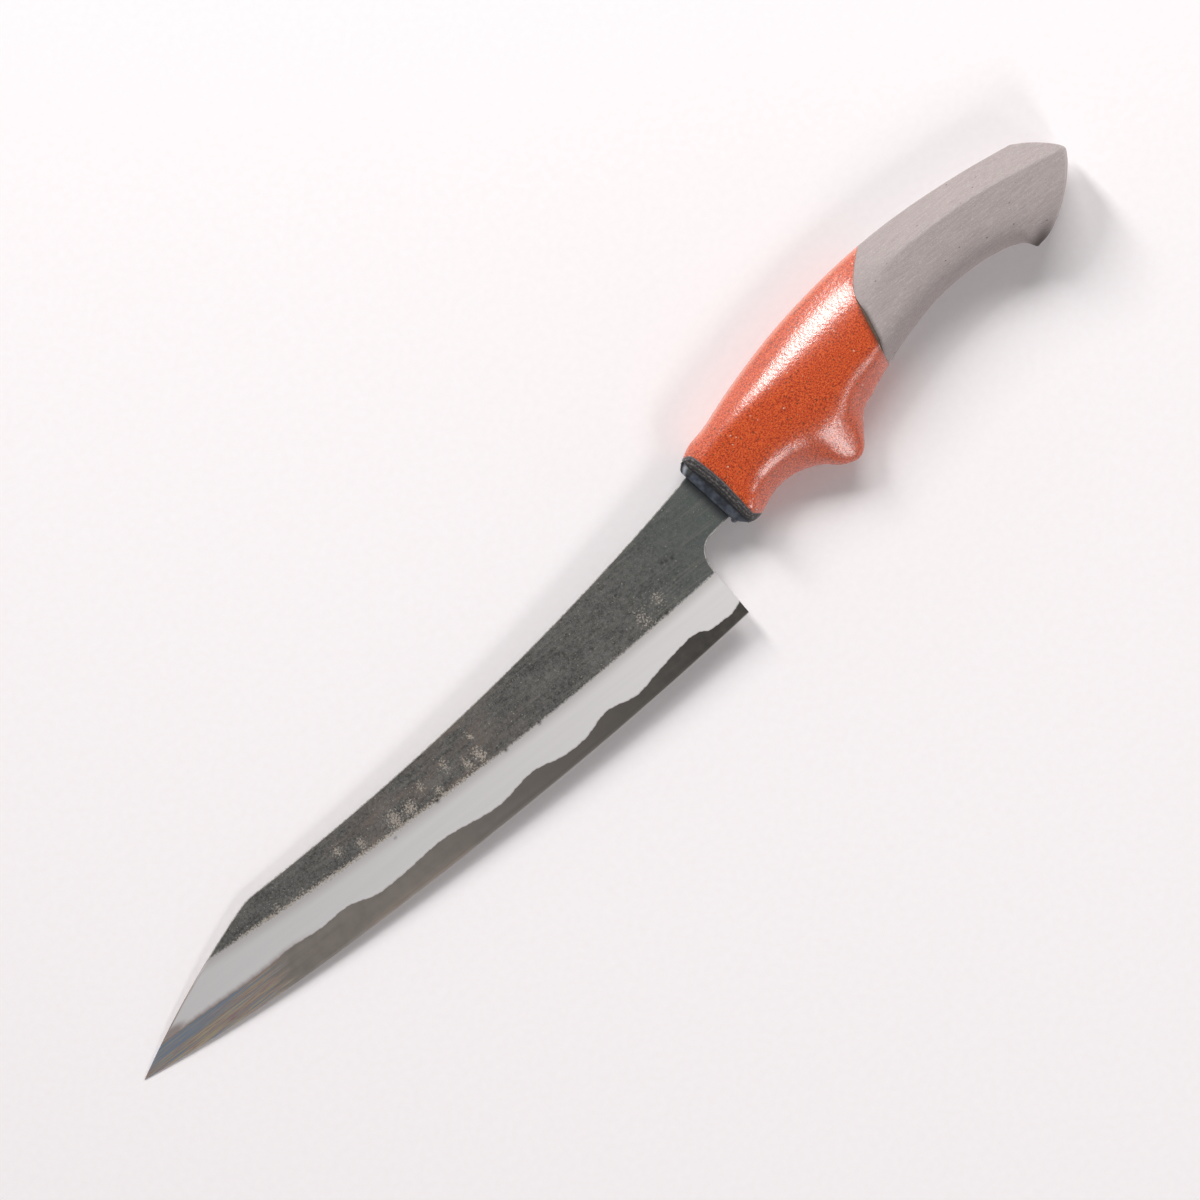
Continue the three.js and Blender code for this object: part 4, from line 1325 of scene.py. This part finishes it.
@dataclass(frozen=True)
class Handle:
    """The handle: plug, collar, lacquered front block, glue line and bare rear block on one carved form."""

    lay: Lay
    axis: TangAxis = TangAxis()
    form: Sculpt = Sculpt()
    collar_front: float = 2.6
    collar_half: float = 3.6
    collar_spread: float = 4.4 / 3.6
    collar_waver: float = 0.02
    glue_gap: float = 0.05
    seam: Pair = (0.1, 0.8)
    seam_flank: Stretch = (32, 38, 44, 51)
    seam_sunk: float = 0.1
    plug_depth: float = 5.0
    plug_half: Pair = (2.2, 3.2)
    plug_round: float = 0.7
    plug_form: tuple[Triple, ...] = (
        (-13, 2.4, 0), (-9.6, 0, 0.5), (-7.8, 0, 1), (7.6, 0, 1), (9.6, 0, 0.5), (10.5, 0.1, 0), (11.7, 2.1, 0))
    plug_top_darkening: Pair = (6.9, 7.9)
    plug_painted_glint: Triple = (8.95, 0.62, 0.5)
    bead_place: Pair = (12.5, 22.6)
    bead_half: Triple = (1.1, 0.9, 2.7)
    border: tuple[Pair, ...] = (
        (19.6, 17), (19.3, 19.4), (17.6, 21), (17.2, 26), (16.4, 33), (15.1, 39), (13.6, 43.6), (11, 44.6),
        (8, 45.4))
    joint: tuple[Pair, ...] = ((69, 15), (75.4, 49), (76.6, 55.5), (89, 64))
    butt: tuple[Pair, ...] = (
        (123.7, 30.8), (128.5, 31.8), (134, 34.7), (139.6, 39.1), (143.6, 43.4), (145.6, 46.4), (146, 47.9),
        (145.1, 49.5), (142.2, 52.4), (138.5, 55.3), (134, 57.9))
    butt_arris: Pair = (0.7, 0.49)
    worn_flank: Stretch = (31, 36, 46, 50)
    glued_flank: Stretch = (32, 37, 45, 50)
    crook: Stretch = (-2.7, -0.2, 1.3, 10.3)
    collar_span: Pair = (6.0, 30.0)
    joint_span: Pair = (60.0, 95.0)
    butt_span: Pair = (100.0, 150.0)
    rear_length: float = 72.0
    rear_step: float = 0.45
    rear_fine: tuple[float, ...] = (0, 0.05, 0.12, 0.22, 0.35, 0.5, 0.7)

    def nose(self, y: Array) -> Array:
        """Plan line of the collar's front."""
        return self.axis.square(self.collar_front, y)

    def collar_line(self, shift: float = 0.0) -> Line:
        """Plan line where the collar meets the lacquer, moved back by a shift."""
        curve = through(self.border, 0.3)
        return lambda y: across(curve)(y) + shift

    def joint_line(self, shift: float = 0.0, glue: bool = False) -> Line:
        """Plan line where the two blocks meet: straight up the side, then a parabola raked back to the crown.

        Args:
            shift: How far back the line is moved.
            glue: Whether it is also moved by the glue line, thick on the side and thin above the ridge and below.

        Returns:
            The line, as x for a height.
        """
        foot, ridge, lean, crown = np.array(self.joint)
        curve = np.concatenate([foot[None], parabola(ridge, lean, crown, 40)])
        thin, thick = self.seam if glue else (0.0, 0.0)
        return lambda y: across(curve)(y) + shift + thin + (thick - thin) * within(y, self.seam_flank)

    def butt_line(self) -> Line:
        """Plan line of the butt, led on below the beak and above the crown."""
        curve = through(self.butt, 0.5)
        return across(np.concatenate([curve[:1] + (-15, -5), curve, curve[-1:] + (-15, 10)]))

    def block(self, front: Array, back: Array, places: Array) -> tuple[Array, Array, Array]:
        """The carved surface between two places on each strand, kept behind the collar's chamfer.

        Args:
            front: x of each strand's start.
            back: x of each strand's end.
            places: Shares of the way from start to end.

        Returns:
            x, y and z, one row for each place.
        """
        x = front[None] + (back - front)[None] * places[:, None]
        y, z = self.form.section(x)
        chamfer = self.collar_half + self.collar_spread * (self.axis.along(x, y) - self.collar_front)
        return x, y, np.minimum(z, chamfer)

    def plug_shell(self) -> Shell:
        """The plug: a flat-sided boss with rounded front edges and thinner sloping ends.

        Across the axis the form's three values are joined by straights and smoothed over a millimetre. The section
        is a rectangle whose front corners are quarter circles: strands go out on the front, turn the corner, run
        back along the side and end in the middle of the rear.

        Returns:
            The plug.
        """
        form = np.array(self.plug_form)
        aside = np.linspace(form[0, 0], form[-1, 0], 140)
        blur = np.ones(7) / 7
        joined = (np.pad(np.interp(aside, form[:, 0], form[:, i]), 3, "edge") for i in (1, 2))
        front, share = (np.convolve(value, blur, "valid")[:, None] for value in joined)
        half = self.plug_half[0] + (self.plug_half[1] - self.plug_half[0]) * share
        corner = self.plug_round * np.minimum(half / 2, 1)
        run, turn = np.linspace(0, 1, 6), np.linspace(0, math.pi / 2, 8)
        out = np.concatenate([run[:-1], np.ones(13), [0]])
        turned = np.concatenate([np.zeros(5), np.sin(turn), np.ones(5), [0]])
        sunk = np.concatenate([np.zeros(5), 1 - np.cos(turn), np.ones(6)])
        deep = np.concatenate([np.zeros(13), run[1:], [1]])
        along = front + corner * sunk
        along = along + (self.plug_depth - along) * deep
        place = aside[:, None] * np.ones_like(along)
        # Painted highlight: a pale diagonal line across the plug's top end
        start, lean, width = self.plug_painted_glint
        glint = 0.6 * np.exp(-((place - start - lean * along) / width) ** 2)
        # The plug turns darker towards its top end
        marks = {"soot": ramp(place, *self.plug_top_darkening), "glint": glint}
        return tube(*self.axis.place(along, place), (half - corner) * out + corner * turned, marks)

    def bead_shell(self) -> Shell:
        """The bead of resin squeezed out below the plug: an ellipsoid.

        Returns:
            The bead.
        """
        turn, lap = np.linspace(0.05, math.pi - 0.05, 16)[:, None], np.linspace(0, math.pi, 14)[None, :]
        (x, y), (long, high, thick) = self.bead_place, self.bead_half
        return tube((x - long * np.cos(turn)) * np.ones_like(lap), y + high * np.sin(turn) * np.cos(lap),
                    thick * np.sin(turn) * np.sin(lap), {})

    def collar_shell(self) -> Shell:
        """The collar: the carved surface from its flat front to the lacquer, chamfered, with wavering file marks.

        Returns:
            The collar.
        """
        front, back = (self.form.meet(line, self.collar_span) for line in (self.nose, self.collar_line()))
        share = np.linspace(0, 1, 70)
        x, y, z = self.block(front, back, share)
        filed = (np.sin(2.1 * y + 1.3 * x) + np.sin(3.7 * y - 2.2 * x + 1)) * np.sin(math.pi * share)[:, None]
        return tube(x, y, z * (1 + self.collar_waver * filed), {"to_border": back[None] - x})

    def front_shell(self) -> Shell:
        """The lacquered block, from the collar to the glue line.

        Returns:
            The block.
        """
        front = self.form.meet(self.collar_line(self.glue_gap), self.collar_span)
        back = self.form.meet(self.joint_line(-self.glue_gap), self.joint_span)
        x, y, z = self.block(front, back, np.linspace(0, 1, 190))
        flank = within(y, self.worn_flank)
        # Painted reflection: a pale tint just below the crown line, behind the collar
        brow = 0.5 * ramp(self.form.crown.height(x) - y, 1.5, 0.2) * ramp(x, 13, 22)
        return tube(x, y, z, {"to_collar": x - front[None], "to_seam": back[None] - x, "flank": flank, "brow": brow})

    def seam_shell(self) -> Shell:
        """The glue line, sunk a little below the blocks.

        Returns:
            The glue line.
        """
        front, back = (self.form.meet(self.joint_line(glue=glue), self.joint_span) for glue in (False, True))
        x, y, z = self.block(front, back, np.linspace(0, 1, 5))
        return tube(x, y, np.maximum(z - self.seam_sunk, 0), {})

    def rear_shell(self) -> Shell:
        """The bare block, from the glue line to the butt, with its last arris worn round and finer steps at its ends.

        Returns:
            The block.
        """
        front = self.form.meet(self.joint_line(self.glue_gap, glue=True), self.joint_span)
        back = self.form.meet(self.butt_line(), self.butt_span)
        fine = np.array(self.rear_fine) / self.rear_length
        steps = np.linspace(fine[-1], 1 - fine[-1], int(self.rear_length / self.rear_step) + 1)
        x, y, z = self.block(front, back, np.concatenate([fine, steps[1:-1], 1 - fine[::-1]]))
        z = np.maximum(z - worn(back[None] - x, *self.butt_arris), 0)
        behind, above = x - self.butt[0][0], y - self.butt[0][1]
        # Partly a stain and partly painted shade in the beak's inner corner; next to the glue line it is a glue stain
        crook = 0.85 * ramp(above - 0.28 * behind, 4.2, 0.2) * within(behind, self.crook)
        glued = 0.6 * ramp(x - front[None], 1.2, 0) * within(y, self.glued_flank)
        # Painted highlight: paler along the butt's lower arris, where it turns to the light
        rim = 0.6 * ramp(back[None] - x, 1.1, 0.3) * ramp(y, 49, 46)
        return tube(x, y, z, {"crook": np.maximum(crook, glued), "rim": rim})

    def build(self) -> list[bpy.types.Object]:
        """Makes and dresses the pieces of the handle.

        Returns:
            Plug, collar, front block, glue line and rear block.
        """
        pieces = (
            ("neck_plug", [self.plug_shell(), self.bead_shell()], BlackResin(), Slot.BLACK_RESIN, 30),
            ("front_collar", [self.collar_shell()], BlackLacquer(), Slot.BLACK_LACQUER, 30),
            ("front_grip", [self.front_shell()], VermilionLacquer(), Slot.RED_LACQUER, 45),
            ("joint_seam", [self.seam_shell()], GlueLine(), Slot.DARK_GLUE, 30),
            ("rear_grip", [self.rear_shell()], GreyWood(), Slot.GREY_WOOD, 40))
        return [make_piece(name, shells, self.lay, finish.material(), crease)
                for name, shells, finish, slot, crease in pieces]

    def dress_inside(self, nodes: dict[str, bpy.types.Object]) -> list[bpy.types.Object]:
        """Gives the CAD pieces inside the handle, which are carried over, their finishes.

        Args:
            nodes: The CAD nodes by name.

        Returns:
            The dowel and the bedding of the tang.
        """
        finishes = {"tang_dowel": TurnedHardwood().material(),
                    "tang_bedding": BlackResin().material(from_object=True)}
        for name, material in finishes.items():
            nodes[name].data.materials.clear()
            nodes[name].data.materials.append(material)
        return [nodes[name] for name in finishes]


# Studio


@dataclass(frozen=True)
class SoftBox:
    """A soft box that looks down at the knife: its bearing and lift in degrees, its size and distance in metres."""

    name: str
    bearing: float
    lift: float
    width: float
    height: float
    watts: float
    throw: float = 1.4

    def build(self, target: Vector) -> None:
        """Makes the light and turns it to the target.

        Args:
            target: What it looks at.
        """
        light = bpy.data.lights.new(self.name, "AREA")
        light.shape = "RECTANGLE"
        light.size, light.size_y = self.width, self.height
        light.energy = self.watts
        box = bpy.data.objects.new(self.name, light)
        turn, rise = math.radians(self.bearing), math.radians(self.lift)
        away = Vector((math.cos(turn) * math.cos(rise), math.sin(turn) * math.cos(rise), math.sin(rise)))
        box.location = target + away * self.throw
        box.rotation_euler = away.to_track_quat("Z", "Y").to_euler()
        bpy.context.scene.collection.objects.link(box)


@dataclass(frozen=True)
class Studio:
    """A pale sheet, four soft boxes and a camera that looks straight down through a long lens.

    Bearings are turned from the knife's x towards its y. The key stands beyond the butt, the strip along the spine
    draws the light on the ridge of the grip, the weak fill draws the light on its lower corner, and the weaker kicker
    the light on the front lip of the finger notch.
    """

    lay: Lay
    aim: Triple = (-30.17, 27.68, 3.0)
    frame_mm: float = 328.56
    sensor_mm: float = 36.0
    distance: float = 3.0
    twist: float = math.radians(-37.74)
    boxes: tuple[SoftBox, ...] = (
        SoftBox("key", 47, 42, 0.65, 0.48, 7.9), SoftBox("strip", 89.5, 38, 0.41, 1.22, 39.8, 2.6),
        SoftBox("fill", -87, 40, 0.3, 0.4, 3.2), SoftBox("kicker", -58, 41, 0.17, 0.2, 1.1))
    zenith: float = 0.1
    ring: float = 0.3
    horizon: float = 0.95
    low_wall: Pair = (0.1, 0.4)
    high_wall: Pair = (0.93, 0.62)
    room_tint: str = "#fffdfd"
    sheet_half: float = 4.0
    sheet_points: int = 9
    sheet_drop: float = 0.0001

    def build(self) -> None:
        """Makes the sheet, the lights, the world and the camera."""
        target = Vector(self.lay.place(np.array([self.aim]))[0])
        self.sheet()
        for box in self.boxes:
            box.build(target)
        self.room()
        self.camera(target)
        bpy.context.scene.view_settings.view_transform = "Standard"

    def sheet(self) -> None:
        """The floor: a wide flat sheet just under the knife."""
        side = np.linspace(-self.sheet_half, self.sheet_half, self.sheet_points)
        x, y = np.meshgrid(side, side, indexing="ij")
        points = np.stack([x, y, np.full_like(x, -self.sheet_drop)], -1).reshape(-1, 3)
        mesh = bpy.data.meshes.new("sheet")
        mesh.from_pydata(points.tolist(), [], squares(np.arange(x.size).reshape(x.shape)).tolist())
        mesh.materials.append(PaperSheet().material())
        floor = bpy.data.objects.new("sheet", mesh)
        bpy.context.scene.collection.objects.link(floor)

    def room(self) -> None:
        """The room: pale all round and dark overhead, in two smooth steps on the height of the direction."""
        world = bpy.data.worlds.new("studio_room")
        world.use_nodes = True
        node = partial(add, world.node_tree)
        height = node("SeparateXYZ", (node("TexCoord", out="Generated"),), "Z")
        low = node("MapRange", (height, *self.low_wall, self.horizon - self.zenith, self.ring - self.zenith),
                   interpolation_type="SMOOTHSTEP")
        high = node("MapRange", (height, *self.high_wall), interpolation_type="SMOOTHSTEP")
        level = node("Math", (low, high, self.zenith), operation="MULTIPLY_ADD")
        feed(world.node_tree.nodes["Background"], {"Color": self.room_tint, "Strength": level})
        bpy.context.scene.world = world

    def camera(self, target: Vector) -> None:
        """The camera, straight above the target, turned so that the knife runs up to the right.

        Args:
            target: What it looks at.
        """
        lens = bpy.data.cameras.new("camera")
        lens.sensor_width = self.sensor_mm
        lens.lens = self.sensor_mm * self.distance / (self.frame_mm * MM)
        camera = bpy.data.objects.new("camera", lens)
        camera.location = target + Vector((0, 0, self.distance))
        camera.rotation_euler = (0, 0, self.twist)
        bpy.context.scene.collection.objects.link(camera)
        bpy.context.scene.camera = camera


def main() -> None:
    """Builds the studio and the knife's looks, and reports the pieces."""
    logging.basicConfig(level=logging.INFO, format="%(name)s %(message)s")
    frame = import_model()
    lay = Lay()
    handle = Handle(lay)
    Studio(lay).build()
    for piece in (*Blade(lay).build(), *handle.build(), *handle.dress_inside(frame["nodes"])):
        LOG.info("%s: %d points, %d faces", piece.name, len(piece.data.vertices), len(piece.data.polygons))


if __name__ == "__main__":
    main()
